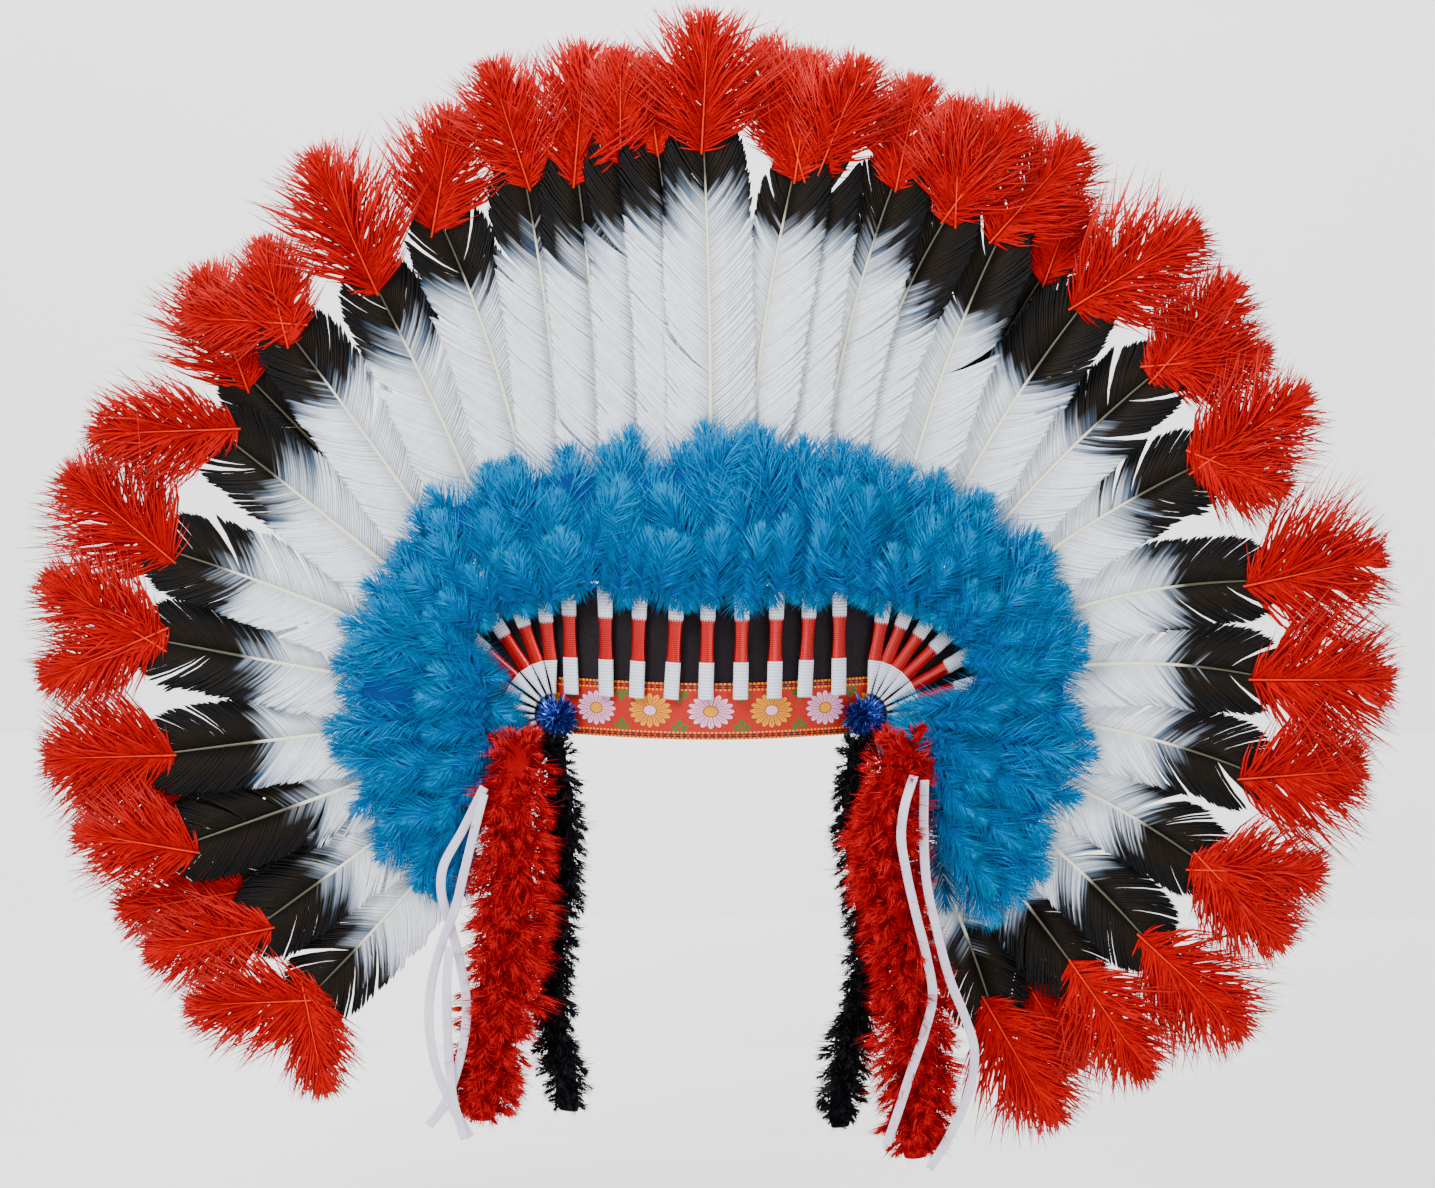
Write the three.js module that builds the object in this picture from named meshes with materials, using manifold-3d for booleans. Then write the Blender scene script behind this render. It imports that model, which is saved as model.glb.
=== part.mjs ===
// Feathered headdress in the war-bonnet style: a felt band with a woven brow ribbon, bound quill feathers
// that fan out round it, each with a red plume at its tip, a blue down ring, rosettes, down boas and satin ties.
// Millimetres. +X is the wearer's left, the front faces -Y, +Z is up, and the origin is the head's centre
// at the height of the brow ribbon's lower edge.
import * as THREE from "three";
import { mergeVertices } from "three/addons/utils/BufferGeometryUtils.js";
import Module from "manifold-3d";

// Head and band
const headHalfDepth = 98;      // from the head's centre to the brow
const bandBow = 70;            // how far the brow stands in front of the two wings
const wingHalfSpan = 150;      // from the middle to where the wings are flat
const pivotHalfSpan = 82.3;    // from the middle to each rosette
const pivotHeight = 9.2;       // height of the rosettes' centres
const seatGap = 0.3;           // clearance that is left between two pieces that touch
const feltWall = 2;
const feltRadius = 73;         // felt round each rosette
const feltHeight = 81;         // top edge of the felt at the brow
const feltLow = 1;             // bottom edge of the felt at the brow
const feltCorner = 78.5;       // where the bottom edge turns down to the side flaps
const feltEndLean = 152;       // lean of the side flaps' lower edge, from straight up
const bandStep = 9;            // width of one facet of the band

// Brow ribbon and rosettes
const ribbonHeight = 30;
const ribbonThickness = 1;
const ribbonHalfLength = 85;
const rosetteRadius = 11.4;
const rosetteThickness = 13;

// Quill feathers
const fanReach = 305;          // from the fan's centre to a full feather's tip
const fanCentreHeight = 15;
const tipFlattening = 0.6;     // share of the band's bow that is lost at the tips
const rake = 0.08;             // backward lean beyond the felt
const rakeSoftness = 40;       // length over which the backward lean sets in
const wrapBottom = 21.6;       // inner end of the bound quills above the brow
const wrapLength = 59;
const wrapInnerRadius = 12.2;  // inner end of the bound quills round a rosette
const wrapOuterRadius = 66;
const wrapHalfWidth = 4.1;
const wrapHalfThickness = 3;
const wrapPleat = 1.15;        // half width of a bound quill at a rosette
const wrapFullRadius = 38;     // where a bound quill beside a rosette reaches its full width
const quillRadius = 1.3;
const vaneHalfWidth = 24.5;
const vaneHalfThickness = 0.45;
const vaneTilt = 0.2;          // slope of a vane across its shaft, so that neighbours shingle
const centreLift = 2.5;        // how far the middle feather's vane stands in front
const middleReach = 0.3;       // share of the half span within which a feather stands beside the middle one
const middleTrim = 0.66;       // share of a vane's inner half that shows beside the middle feather
const backDrop = 5.8;          // how far the back row's vanes lie behind the felt's face
const backRootRadius = 40;
const backDip = 12;            // length over which a back quill dips behind the front row
const plumeLength = 62;
const plumeWidth = 50;
const plumeHalfThickness = 3;
const footThickness = 0.3;     // share of a plume's thickness at its foot
const plumeFoot = 4;           // how far a plume's foot reaches down the shaft
const plumeLift = 9.6;         // how far every second plume stands in front of its neighbours
const sliverLimit = 0.05;      // how far a surface may move where a sliver face is taken out of it

// Down ring, boas and ties
const ringThickness = 18;
const ringReach = 124;         // from a rosette to the ring's outer edge
const ringCrown = 160;         // height of the ring's outer edge at the middle
const ringClearance = 5.3;     // from the middle of the vanes to the back of the ring
const ringLock = 5;            // how far the ring's locks stand out
const ringJointLean = 29;
const boaLength = 217;
const redBoaHalfThickness = 15;
const blackBoaHalfThickness = 7.4;
const blackBoaLayer = 9.4;    // from the felt's face to the middle of a black boa
const redBoaLayer = 29;
const boaTopFullness = 0.6;    // share of a boa's thickness at its ends
const boaSwellRows = 2;        // rows over which a boa swells out
const boaEdgeEase = 0.8;       // how far a tie follows a boa round its edge
const boaLock = 0.1;           // share by which a boa's locks widen it
const tieWidth = 5;
const tieThickness = 1;
const tieLayerStep = 3.4;        // from one tie to the next that crosses it
const tieRiseSteps = 3;        // points of a route over which a tie rises onto another

// A row for each front feather: root is its place along the brow as a share of the half span, wrap and tip are
// leans in degrees from straight up, clockwise, and reach is a share of the fan's reach.
const featherTable = [
  { root: -1.0, wrap: -141.0, tip: -126.7, reach: 0.90 },
  { root: -1.0, wrap: -125.5, tip: -116.9, reach: 0.92 },
  { root: -1.0, wrap: -110.0, tip: -105.6, reach: 0.99 },
  { root: -1.0, wrap: -95.5, tip: -95.8, reach: 1.00 },
  { root: -1.0, wrap: -80.5, tip: -83.8, reach: 1.01 },
  { root: -1.0, wrap: -65.0, tip: -74.6, reach: 1.02 },
  { root: -1.0, wrap: -49.5, tip: -61.4, reach: 1.00 },
  { root: -1.0, wrap: -34.5, tip: -48.7, reach: 1.01 },
  { root: -1.0, wrap: -20.5, tip: -38.7, reach: 0.97 },
  { root: -1.0, wrap: -6.5, tip: -29.4, reach: 0.99 },
  { root: -0.905, wrap: -1.6, tip: -19.4, reach: 1.00 },
  { root: -0.676, wrap: -0.5, tip: -14.0, reach: 0.98 },
  { root: -0.479, wrap: 2.0, tip: -9.1, reach: 1.00 },
  { root: -0.256, wrap: 3.5, tip: -5.6, reach: 1.01 },
  { root: -0.033, wrap: 1.5, tip: -0.8, reach: 1.01 },
  { root: 0.190, wrap: 1.0, tip: 9.0, reach: 0.97 },
  { root: 0.407, wrap: 1.5, tip: 11.9, reach: 0.99 },
  { root: 0.604, wrap: 3.0, tip: 19.5, reach: 1.00 },
  { root: 0.827, wrap: 0.5, tip: 26.2, reach: 0.98 },
  { root: 1.0, wrap: 10.0, tip: 31.8, reach: 0.99 },
  { root: 1.0, wrap: 22.5, tip: 43.2, reach: 0.98 },
  { root: 1.0, wrap: 35.0, tip: 53.6, reach: 1.00 },
  { root: 1.0, wrap: 47.5, tip: 64.3, reach: 0.98 },
  { root: 1.0, wrap: 61.5, tip: 78.0, reach: 1.01 },
  { root: 1.0, wrap: 76.0, tip: 88.0, reach: 1.00 },
  { root: 1.0, wrap: 92.0, tip: 98.1, reach: 0.99 },
  { root: 1.0, wrap: 108.0, tip: 108.9, reach: 0.94 },
  { root: 1.0, wrap: 124.0, tip: 119.6, reach: 0.91 },
  { root: 1.0, wrap: 139.0, tip: 127.1, reach: 0.83 },
  { root: 1.0, wrap: 154.0, tip: 138.4, reach: 0.76 },
];

// A row for each feather of the back row, which shows between two front ones.
const backTable = [
  { root: -1, wrap: -117.7, tip: -112.0, reach: 0.94 },
  { root: -1, wrap: -102.8, tip: -99.6, reach: 1.00 },
  { root: -1, wrap: -42.0, tip: -55.0, reach: 1.02 },
  { root: 1, wrap: 16.2, tip: 38.0, reach: 0.98 },
  { root: 1, wrap: 146.5, tip: 133.0, reach: 0.80 },
];

// Red plumes: feather is the row of the front feather, or of the back one where back is true; lean is the plume's
// own direction, and length and width are shares of the full plume.
const plumeTable = [
  { feather: 1, lean: -92, length: 1.05, width: 0.70 }, { feather: 1, lean: 168, length: 0.85, width: 0.50 },
  { feather: 2, lean: -102, length: 0.95, width: 0.65 },
  { feather: 3, lean: -80, length: 0.88, width: 0.75 },
  { feather: 4, lean: -92, length: 0.95, width: 1.00 },
  { feather: 5, lean: -113, length: 1.00, width: 0.62 }, { feather: 5, lean: -58, length: 1.05, width: 0.70 },
  { feather: 6, lean: -50, length: 1.05, width: 1.00 },
  { feather: 7, lean: -92, length: 1.10, width: 0.72 },
  { feather: 8, lean: -86, length: 0.88, width: 0.48 }, { feather: 8, lean: -14, length: 0.75, width: 0.60 },
  { feather: 9, lean: -24, length: 1.15, width: 1.00 },
  { feather: 10, lean: 10, length: 0.92, width: 0.78 },
  { feather: 11, lean: -18, length: 0.95, width: 0.75 },
  { feather: 12, lean: 5, length: 1.02, width: 0.85 },
  { feather: 13, lean: 0, length: 0.80, width: 0.50 },
  { feather: 14, lean: -8, length: 0.65, width: 0.40 },
  { feather: 15, lean: 3, length: 1.00, width: 1.05 },
  { feather: 16, lean: 8, length: 0.92, width: 0.80 }, { feather: 16, lean: -16, length: 1.05, width: 0.60 },
  { feather: 17, lean: 22, length: 0.88, width: 0.75 },
  { feather: 18, lean: 12, length: 0.80, width: 0.65 },
  { feather: 19, lean: 2, length: 0.90, width: 0.65 }, { feather: 19, lean: 36, length: 1.00, width: 0.70 },
  { feather: 20, lean: 42, length: 0.98, width: 0.82 },
  { feather: 21, lean: 58, length: 1.15, width: 0.95 },
  { feather: 22, lean: 42, length: 0.98, width: 0.65 }, { feather: 22, lean: 85, length: 0.92, width: 0.65 },
  { feather: 23, lean: 55, length: 1.05, width: 0.82 }, { feather: 23, lean: 112, length: 0.75, width: 0.60 },
  { feather: 24, lean: 78, length: 1.05, width: 1.10 },
  { feather: 25, lean: 90, length: 1.05, width: 1.10 },
  { feather: 26, lean: 86, length: 0.92, width: 1.05 },
  { feather: 27, lean: 91, length: 1.00, width: 0.70 }, { feather: 27, lean: 136, length: 0.95, width: 0.68 },
  { feather: 28, lean: 133, length: 1.12, width: 0.82 },
  { feather: 29, lean: 145, length: 1.05, width: 0.78 },
  { feather: 30, lean: 150, length: 1.12, width: 0.78 },
  { feather: 1, back: true, lean: -100, length: 0.95, width: 0.75 },
  { feather: 2, back: true, lean: -85, length: 0.75, width: 0.60 },
  { feather: 3, back: true, lean: -20, length: 0.95, width: 0.95 },
  { feather: 4, back: true, lean: 20, length: 0.65, width: 0.60 },
  { feather: 5, back: true, lean: 150, length: 0.70, width: 0.55 },
];

// Sections of a vane from the bound quill to the tip, and of a plume from its foot to its end.
const vaneSections = [
  { along: 0.14, width: 0.24 }, { along: 0.34, width: 0.82 }, { along: 0.58, width: 1.00 },
  { along: 0.85, width: 0.98 }, { along: 1.00, width: 0.36 },
];
const plumeSections = [
  { along: 0.00, width: 0.12, rise: 0 }, { along: 0.30, width: 0.84, rise: 1 },
  { along: 0.70, width: 1.00, rise: 1 }, { along: 1.00, width: 0.30, rise: 1 },
];

// Down ring: rows beside a rosette give the lean and the inner and outer radius as shares of the ring's reach;
// rows over the brow give the place along the brow and the outer edge as a share of the crown's height.
const ringLeft = [
  { lean: -150, inner: 0.79, outer: 0.97 }, { lean: -142, inner: 0.62, outer: 1.00 },
  { lean: -133, inner: 0.50, outer: 1.00 }, { lean: -122, inner: 0.41, outer: 1.01 },
  { lean: -110, inner: 0.34, outer: 1.01 }, { lean: -98, inner: 0.33, outer: 0.99 },
  { lean: -86, inner: 0.32, outer: 0.99 }, { lean: -74, inner: 0.32, outer: 1.00 },
  { lean: -62, inner: 0.38, outer: 1.01 }, { lean: -50, inner: 0.55, outer: 1.02 },
  { lean: -39, inner: 0.55, outer: 1.07 }, { lean: -ringJointLean, inner: 0.55, outer: 1.12 },
];
const ringRight = [
  { lean: ringJointLean, inner: 0.55, outer: 1.10 }, { lean: 40, inner: 0.56, outer: 1.08 },
  { lean: 51, inner: 0.56, outer: 1.06 }, { lean: 62, inner: 0.55, outer: 1.06 },
  { lean: 74, inner: 0.53, outer: 1.05 }, { lean: 86, inner: 0.37, outer: 1.00 },
  { lean: 98, inner: 0.33, outer: 0.98 }, { lean: 110, inner: 0.34, outer: 1.01 },
  { lean: 121, inner: 0.38, outer: 1.04 }, { lean: 131, inner: 0.43, outer: 1.07 },
  { lean: 141, inner: 0.53, outer: 1.10 }, { lean: 150, inner: 0.66, outer: 1.10 },
];
const ringBrow = [
  { across: -0.90, outer: 0.98 }, { across: -0.72, outer: 0.97 }, { across: -0.54, outer: 1.00 },
  { across: -0.36, outer: 0.99 }, { across: -0.18, outer: 1.02 }, { across: 0.00, outer: 1.06 },
  { across: 0.18, outer: 1.04 }, { across: 0.36, outer: 1.06 }, { across: 0.54, outer: 1.03 },
  { across: 0.72, outer: 1.02 }, { across: 0.90, outer: 0.99 },
];

// Boas: drop is the height below the rosette, out the middle's distance from the brow's centre and half the half
// width, all as shares of the boa's length.
const redBoaLeft = [
  { drop: 0.000, out: 0.475, half: 0.055 }, { drop: 0.060, out: 0.480, half: 0.078 },
  { drop: 0.150, out: 0.488, half: 0.088 }, { drop: 0.270, out: 0.482, half: 0.098 },
  { drop: 0.390, out: 0.492, half: 0.100 }, { drop: 0.510, out: 0.502, half: 0.102 },
  { drop: 0.630, out: 0.518, half: 0.098 }, { drop: 0.750, out: 0.540, half: 0.092 },
  { drop: 0.880, out: 0.562, half: 0.090 }, { drop: 0.985, out: 0.574, half: 0.044 },
];
const redBoaRight = [
  { drop: 0.000, out: 0.470, half: 0.055 }, { drop: 0.060, out: 0.462, half: 0.084 },
  { drop: 0.150, out: 0.432, half: 0.090 }, { drop: 0.280, out: 0.428, half: 0.094 },
  { drop: 0.420, out: 0.462, half: 0.088 }, { drop: 0.560, out: 0.490, half: 0.094 },
  { drop: 0.700, out: 0.502, half: 0.098 }, { drop: 0.840, out: 0.512, half: 0.100 },
  { drop: 0.980, out: 0.514, half: 0.086 }, { drop: 1.080, out: 0.505, half: 0.040 },
];
const blackBoaLeft = [
  { drop: 0.000, out: 0.386, half: 0.040 }, { drop: 0.120, out: 0.372, half: 0.058 },
  { drop: 0.270, out: 0.366, half: 0.062 }, { drop: 0.420, out: 0.378, half: 0.058 },
  { drop: 0.560, out: 0.392, half: 0.056 }, { drop: 0.700, out: 0.392, half: 0.054 },
  { drop: 0.840, out: 0.362, half: 0.062 }, { drop: 0.960, out: 0.350, half: 0.040 },
];
const blackBoaRight = [
  { drop: 0.000, out: 0.364, half: 0.040 }, { drop: 0.120, out: 0.352, half: 0.058 },
  { drop: 0.270, out: 0.362, half: 0.060 }, { drop: 0.420, out: 0.384, half: 0.058 },
  { drop: 0.560, out: 0.388, half: 0.058 }, { drop: 0.720, out: 0.352, half: 0.064 },
  { drop: 0.880, out: 0.322, half: 0.062 }, { drop: 1.000, out: 0.320, half: 0.038 },
];

// Ties: each route's points are chosen by hand, as [x, z] in millimetres. seat sets the tie down on the boa's
// locks, and from and layer count the ties that lie under its start and under the rest of it.
const tieRoutes = {
  tie_left_1: { seat: -0.6, from: 0, layer: 0, boa: "left", points: [[-121, -28], [-133, -52], [-143.5, -72], [-144.5, -86], [-139, -106],
    [-134, -126], [-131, -148], [-133.5, -170], [-139, -190], [-145, -204], [-152, -213]] },
  tie_left_2: { seat: -0.6, from: 1, layer: 1, boa: "left", points: [[-121, -31], [-127, -54], [-132.5, -76], [-137, -94], [-144, -112],
    [-149.5, -132], [-151.5, -152], [-150, -170], [-146, -186], [-138, -203], [-129, -217]] },
  tie_left_3: { seat: -1.3, from: 2, layer: 2, boa: "left", points: [[-140, -114], [-141.5, -134], [-141.5, -156], [-140.5, -178],
    [-138, -198], [-132, -218]] },
  tie_right_1: { seat: 1.5, from: 0, layer: 0, boa: "right", points: [[108, -21], [103, -36], [101, -52], [104, -72], [109, -94],
    [115, -118], [118.5, -140], [114, -160], [107, -180], [100, -202], [94, -220]] },
  tie_right_2: { seat: -1.4, from: 0, layer: 1, boa: "right", points: [[114, -24], [113.5, -50], [115, -78], [121, -106], [128, -132],
    [136, -152], [141.5, -170], [140, -190], [133, -208], [124, -224], [117, -234]] },
};

const colours = {
  felt: 0x231e23, ribbon: 0xd9452a, rosette: 0x0a2a8c, feather: 0xdfe8f2, backFeather: 0x1c1a1e,
  ring: 0x0a86c8, redBoa: 0xc2050f, blackBoa: 0x101013, tie: 0xdedcf0,
};

const wasm = await Module();
wasm.setup();

const headdress = new THREE.Group();

function heading(lean) {
  const angle = THREE.MathUtils.degToRad(lean);
  return new THREE.Vector2(Math.sin(angle), Math.cos(angle));
}

// Depth of the band's front face at a place seen from the front: a bell in plan, flatter and raked further out.
function surface(x, z) {
  const side = Math.max(Math.abs(x) - pivotHalfSpan, 0);
  const beyond = Math.max(Math.hypot(side, z - pivotHeight) - feltRadius, 0);
  const eased = beyond * beyond / (beyond + rakeSoftness);
  const across = Math.min(Math.abs(x) / wingHalfSpan, 1);
  const bow = bandBow * (1 + Math.cos(Math.PI * across)) / 2;
  const kept = 1 - tipFlattening * Math.min(eased / fanReach, 1);
  return bandBow - headHalfDepth - feltWall - bow * kept + rake * eased;
}

function place(x, z, front) {
  return new THREE.Vector3(x, surface(x, z) - front, z);
}

// A closed solid through rings of points that all have the same count. The back's quads are split as the mirror
// image of the front's, so that the two faces of a thin vane stay apart where it twists.
function loft(rings) {
  const count = rings[0].length;
  const vertices = rings.flat().flatMap((point) => [point.x, point.y, point.z]);
  const faces = [];
  for (let ring = 0; ring < rings.length - 1; ring += 1) {
    for (let i = 0; i < count; i += 1) {
      const a = ring * count + i;
      const b = ring * count + (i + 1) % count;
      const split = i < count / 2 ? [a, b, b + count, a, b + count, a + count] : [a, b, a + count, b, b + count, a + count];
      faces.push(...split);
    }
  }
  const last = (rings.length - 1) * count;
  for (let i = 1; i < count - 1; i += 1) {
    faces.push(0, i + 1, i, last, last + i, last + i + 1);
  }
  const geometry = new THREE.BufferGeometry();
  geometry.setAttribute("position", new THREE.Float32BufferAttribute(vertices, 3));
  geometry.setIndex(volumeOf(vertices, faces) < 0 ? faces.reverse() : faces);
  return geometry;
}

function volumeOf(vertices, faces) {
  const corner = (i) => new THREE.Vector3().fromArray(vertices, faces[i] * 3);
  let volume = 0;
  for (let i = 0; i < faces.length; i += 3) {
    volume += corner(i).dot(corner(i + 1).cross(corner(i + 2)));
  }
  return volume;
}

function toSolid(geometry) {
  const merged = mergeVertices(geometry, 1e-5);
  return new wasm.Manifold(new wasm.Mesh({
    numProp: 3,
    vertProperties: new Float32Array(merged.attributes.position.array),
    triVerts: new Uint32Array(merged.index.array),
  }));
}

// One solid of several that overlap, without the sliver faces that their cut edges leave.
function fuse(geometries) {
  const whole = geometries.map(toSolid).reduce((sum, solid) => sum.add(solid));
  const mesh = whole.asOriginal().simplify(sliverLimit).getMesh();
  const geometry = new THREE.BufferGeometry();
  geometry.setAttribute("position", new THREE.Float32BufferAttribute(mesh.vertProperties, 3));
  geometry.setIndex(Array.from(mesh.triVerts));
  return geometry;
}

function addPiece(name, geometry, colour, roughness = 0.85) {
  const mesh = new THREE.Mesh(geometry, new THREE.MeshStandardMaterial({ color: colour, roughness, metalness: 0 }));
  mesh.name = name;
  headdress.add(mesh);
}

// Eight points round a blade or a bound quill: sharp at both edges, full at the middle.
function bladeRing(centre, right, front, tilt, halfWidth, middle, flank, trimmed = () => 1) {
  const outline = [[-1, 0], [-0.5, flank], [0, middle], [0.5, flank], [1, 0], [0.5, -flank], [0, -middle], [-0.5, -flank]];
  return outline.map(([across, up]) => {
    const u = across * halfWidth * trimmed(across);
    return place(centre.x + right.x * u, centre.y + right.y * u, front + tilt * u + up);
  });
}

const wrapFlank = Math.sqrt(3) / 2;
const brow = (share) => share * pivotHalfSpan;

// Root, wrap end, tip and shaft of a feather, all as seen from the front.
function featherLine(row, innerRadius) {
  const way = heading(row.wrap);
  const besideRosette = Math.abs(row.root) === 1;
  const pivot = new THREE.Vector2(brow(row.root), besideRosette ? pivotHeight : wrapBottom);
  const start = pivot.clone().addScaledVector(way, besideRosette ? innerRadius : 0);
  const end = pivot.clone().addScaledVector(way, besideRosette ? wrapOuterRadius : wrapLength);
  const tip = new THREE.Vector2(0, fanCentreHeight).addScaledVector(heading(row.tip), row.reach * fanReach);
  const bend = end.clone().addScaledVector(way, end.distanceTo(tip) / 2);
  return { way, pivot, besideRosette, start, end, tip, shaft: new THREE.QuadraticBezierCurve(end, bend, tip) };
}

function vaneRings(shaft, front, tilt, trimmed) {
  return vaneSections.map(({ along, width }) => {
    const way = shaft.getTangent(along);
    const right = new THREE.Vector2(way.y, -way.x);
    const middle = THREE.MathUtils.lerp(quillRadius, 2 * vaneHalfThickness, along);
    return bladeRing(shaft.getPoint(along), right, front, tilt, width * vaneHalfWidth, middle, vaneHalfThickness,
      trimmed);
  });
}

function plume(row, tip, front, lift) {
  const way = heading(row.lean);
  const right = new THREE.Vector2(way.y, -way.x);
  return loft(plumeSections.map(({ along, width, rise }) => {
    const centre = tip.clone().addScaledVector(way, along * row.length * plumeLength - (rise ? 0 : plumeFoot));
    const halfWidth = width * row.width * plumeWidth / 2;
    const half = plumeHalfThickness * (rise ? 1 : footThickness);
    const outline = [[-1, 0], [-0.5, 1], [0.5, 1], [1, 0], [0.5, -1], [-0.5, -1]];
    return outline.map(([across, up]) => place(centre.x + right.x * across * halfWidth,
      centre.y + right.y * across * halfWidth, front + rise * lift + up * half));
  }));
}

function plumesOf(number, back, tip, front) {
  const lift = !back && number % 2 === 1 ? plumeLift : 0;
  const rows = plumeTable.filter((row) => row.feather === number && Boolean(row.back) === back);
  return rows.map((row) => plume(row, tip, front, lift));
}

const ribbonFront = seatGap + ribbonThickness;
const fanLayer = seatGap + wrapHalfThickness;
const browLayer = ribbonFront + seatGap + wrapHalfThickness;

function feather(row, index) {
  const { way, pivot, besideRosette, start, end, tip, shaft } = featherLine(row, wrapInnerRadius);
  const side = Math.sign(Math.round(row.tip / 2));
  const overRibbon = Math.abs(row.wrap) < 12;
  const layer = overRibbon ? browLayer : fanLayer;
  const front = layer + (side === 0 ? centreLift : 0);
  const right = new THREE.Vector2(way.y, -way.x);
  const bound = (centre, halfWidth) => bladeRing(centre, right, layer, 0, halfWidth, wrapHalfThickness,
    wrapHalfThickness * wrapFlank);
  const rings = [bound(start, besideRosette ? wrapPleat : wrapHalfWidth)];
  if (besideRosette) {
    rings.push(bound(pivot.clone().addScaledVector(way, wrapFullRadius), wrapHalfWidth * 0.95));
  }
  rings.push(bound(end, wrapHalfWidth));
  const quillStart = end.clone().addScaledVector(way, quillRadius);
  rings.push(bladeRing(quillStart, right, layer, 0, quillRadius, quillRadius, quillRadius * wrapFlank));
  const besideMiddle = side !== 0 && Math.abs(row.root) < middleReach;
  const trimmed = (across) => (besideMiddle && across * side < 0 ? middleTrim : 1);
  rings.push(...vaneRings(shaft, front, side * vaneTilt, trimmed));
  return fuse([loft(rings), ...plumesOf(index + 1, false, tip, front)]);
}

// A back feather's quill lies on the felt between two bound quills and dips behind the front row past its edge.
function backFeather(row, index) {
  const { way, pivot, tip, shaft, start } = featherLine(row, backRootRadius);
  const right = new THREE.Vector2(way.y, -way.x);
  const bare = (centre, front) => bladeRing(centre, right, front, 0, quillRadius, quillRadius, quillRadius * wrapFlank);
  const onFelt = seatGap + quillRadius;
  const rings = [bare(start, onFelt), bare(pivot.clone().addScaledVector(way, feltRadius + quillRadius), onFelt)];
  rings.push(bare(pivot.clone().addScaledVector(way, feltRadius + backDip), -backDrop));
  rings.push(...vaneRings(shaft, -backDrop, Math.sign(row.root) * vaneTilt).slice(1));
  return fuse([loft(rings), ...plumesOf(index + 1, true, tip, -backDrop)]);
}

function spread(from, to, step) {
  const count = Math.max(2, Math.ceil((to - from) / step));
  return Array.from({ length: count + 1 }, (_, i) => from + (to - from) * i / count);
}

// Height of the felt's lower and upper edge at a distance from the middle.
function feltEdges(x) {
  const side = Math.abs(x) - pivotHalfSpan;
  const arc = Math.sqrt(Math.max(feltRadius ** 2 - Math.max(side, 0) ** 2, 0));
  const flap = heading(feltEndLean).multiplyScalar(feltRadius);
  const top = side <= 0 ? feltHeight : Math.min(feltHeight, pivotHeight + arc);
  const slope = (pivotHeight + flap.y - feltLow) / (pivotHalfSpan + flap.x - feltCorner);
  const low = side < flap.x ? feltLow + Math.max(Math.abs(x) - feltCorner, 0) * slope : pivotHeight - arc;
  return { low, top };
}

function wall(columns, edges, back, front) {
  return loft(columns.map((x) => {
    const { low, top } = edges(x);
    return [place(x, low, back), place(x, low, front), place(x, top, front), place(x, top, back)];
  }));
}

function felt() {
  const flapEnd = pivotHalfSpan + feltRadius * 0.985;
  const middle = spread(-ribbonHalfLength, ribbonHalfLength, bandStep);
  const outer = spread(ribbonHalfLength, flapEnd, bandStep).slice(1);
  const columns = [...outer.map((x) => -x).reverse(), ...middle, ...outer];
  return wall(columns, feltEdges, -feltWall, 0);
}

function browRibbon() {
  const columns = spread(-ribbonHalfLength, ribbonHalfLength, bandStep);
  return wall(columns, () => ({ low: 0, top: ribbonHeight }), seatGap, ribbonFront);
}

// A tinsel pompom: a dome whose rim stands out in locks.
function rosette(side) {
  const levels = [{ up: 0, radius: 0.55 }, { up: 0.3, radius: 1 }, { up: 0.65, radius: 0.92 }, { up: 1, radius: 0.4 }];
  const sides = 16;
  return loft(levels.map(({ up, radius }) => Array.from({ length: sides }, (_, i) => {
    const way = heading(360 * i / sides).multiplyScalar(rosetteRadius * radius * (i % 2 ? 0.9 : 1));
    const front = ribbonFront + seatGap + up * rosetteThickness;
    return place(side * pivotHalfSpan + way.x, pivotHeight + way.y, front);
  })));
}

// The ring's section: outline across its width and through its thickness.
const ringOutline = [
  { across: 0, up: 0.25 }, { across: 0.25, up: 0.85 }, { across: 0.62, up: 1 },
  { across: 1, up: 0.3 }, { across: 0.8, up: 0 }, { across: 0.15, up: 0 },
];

function ringSection(inner, outer, lock) {
  const back = browLayer + ringClearance;
  return ringOutline.map(({ across, up }) => {
    const point = inner.clone().lerp(outer, across);
    const out = outer.clone().sub(inner).normalize().multiplyScalar(lock * across * ringLock);
    return place(point.x + out.x, point.y + out.y, back + up * ringThickness);
  });
}

function besideRosette(row, side, lock) {
  const pivot = new THREE.Vector2(side * pivotHalfSpan, pivotHeight);
  const way = heading(row.lean);
  return ringSection(pivot.clone().addScaledVector(way, row.inner * ringReach),
    pivot.clone().addScaledVector(way, row.outer * ringReach), lock);
}

function ring(part) {
  const alternate = (index) => (index % 2 ? 1 : -1);
  if (part === "left") {
    return loft(ringLeft.map((row, index) => besideRosette(row, -1, alternate(index))));
  }
  if (part === "right") {
    return loft(ringRight.map((row, index) => besideRosette(row, 1, alternate(index))));
  }
  const jointGap = THREE.MathUtils.radToDeg(seatGap / (ringLeft.at(-1).inner * ringReach));
  const from = { ...ringLeft.at(-1), lean: jointGap - ringJointLean };
  const to = { ...ringRight[0], lean: ringJointLean - jointGap };
  const middle = ringBrow.map((row, index) => ringSection(
    new THREE.Vector2(brow(row.across), wrapBottom + wrapLength + seatGap),
    new THREE.Vector2(brow(row.across), row.outer * ringCrown), alternate(index)));
  return loft([besideRosette(from, -1, alternate(1)), ...middle, besideRosette(to, 1, alternate(0))]);
}

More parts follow.
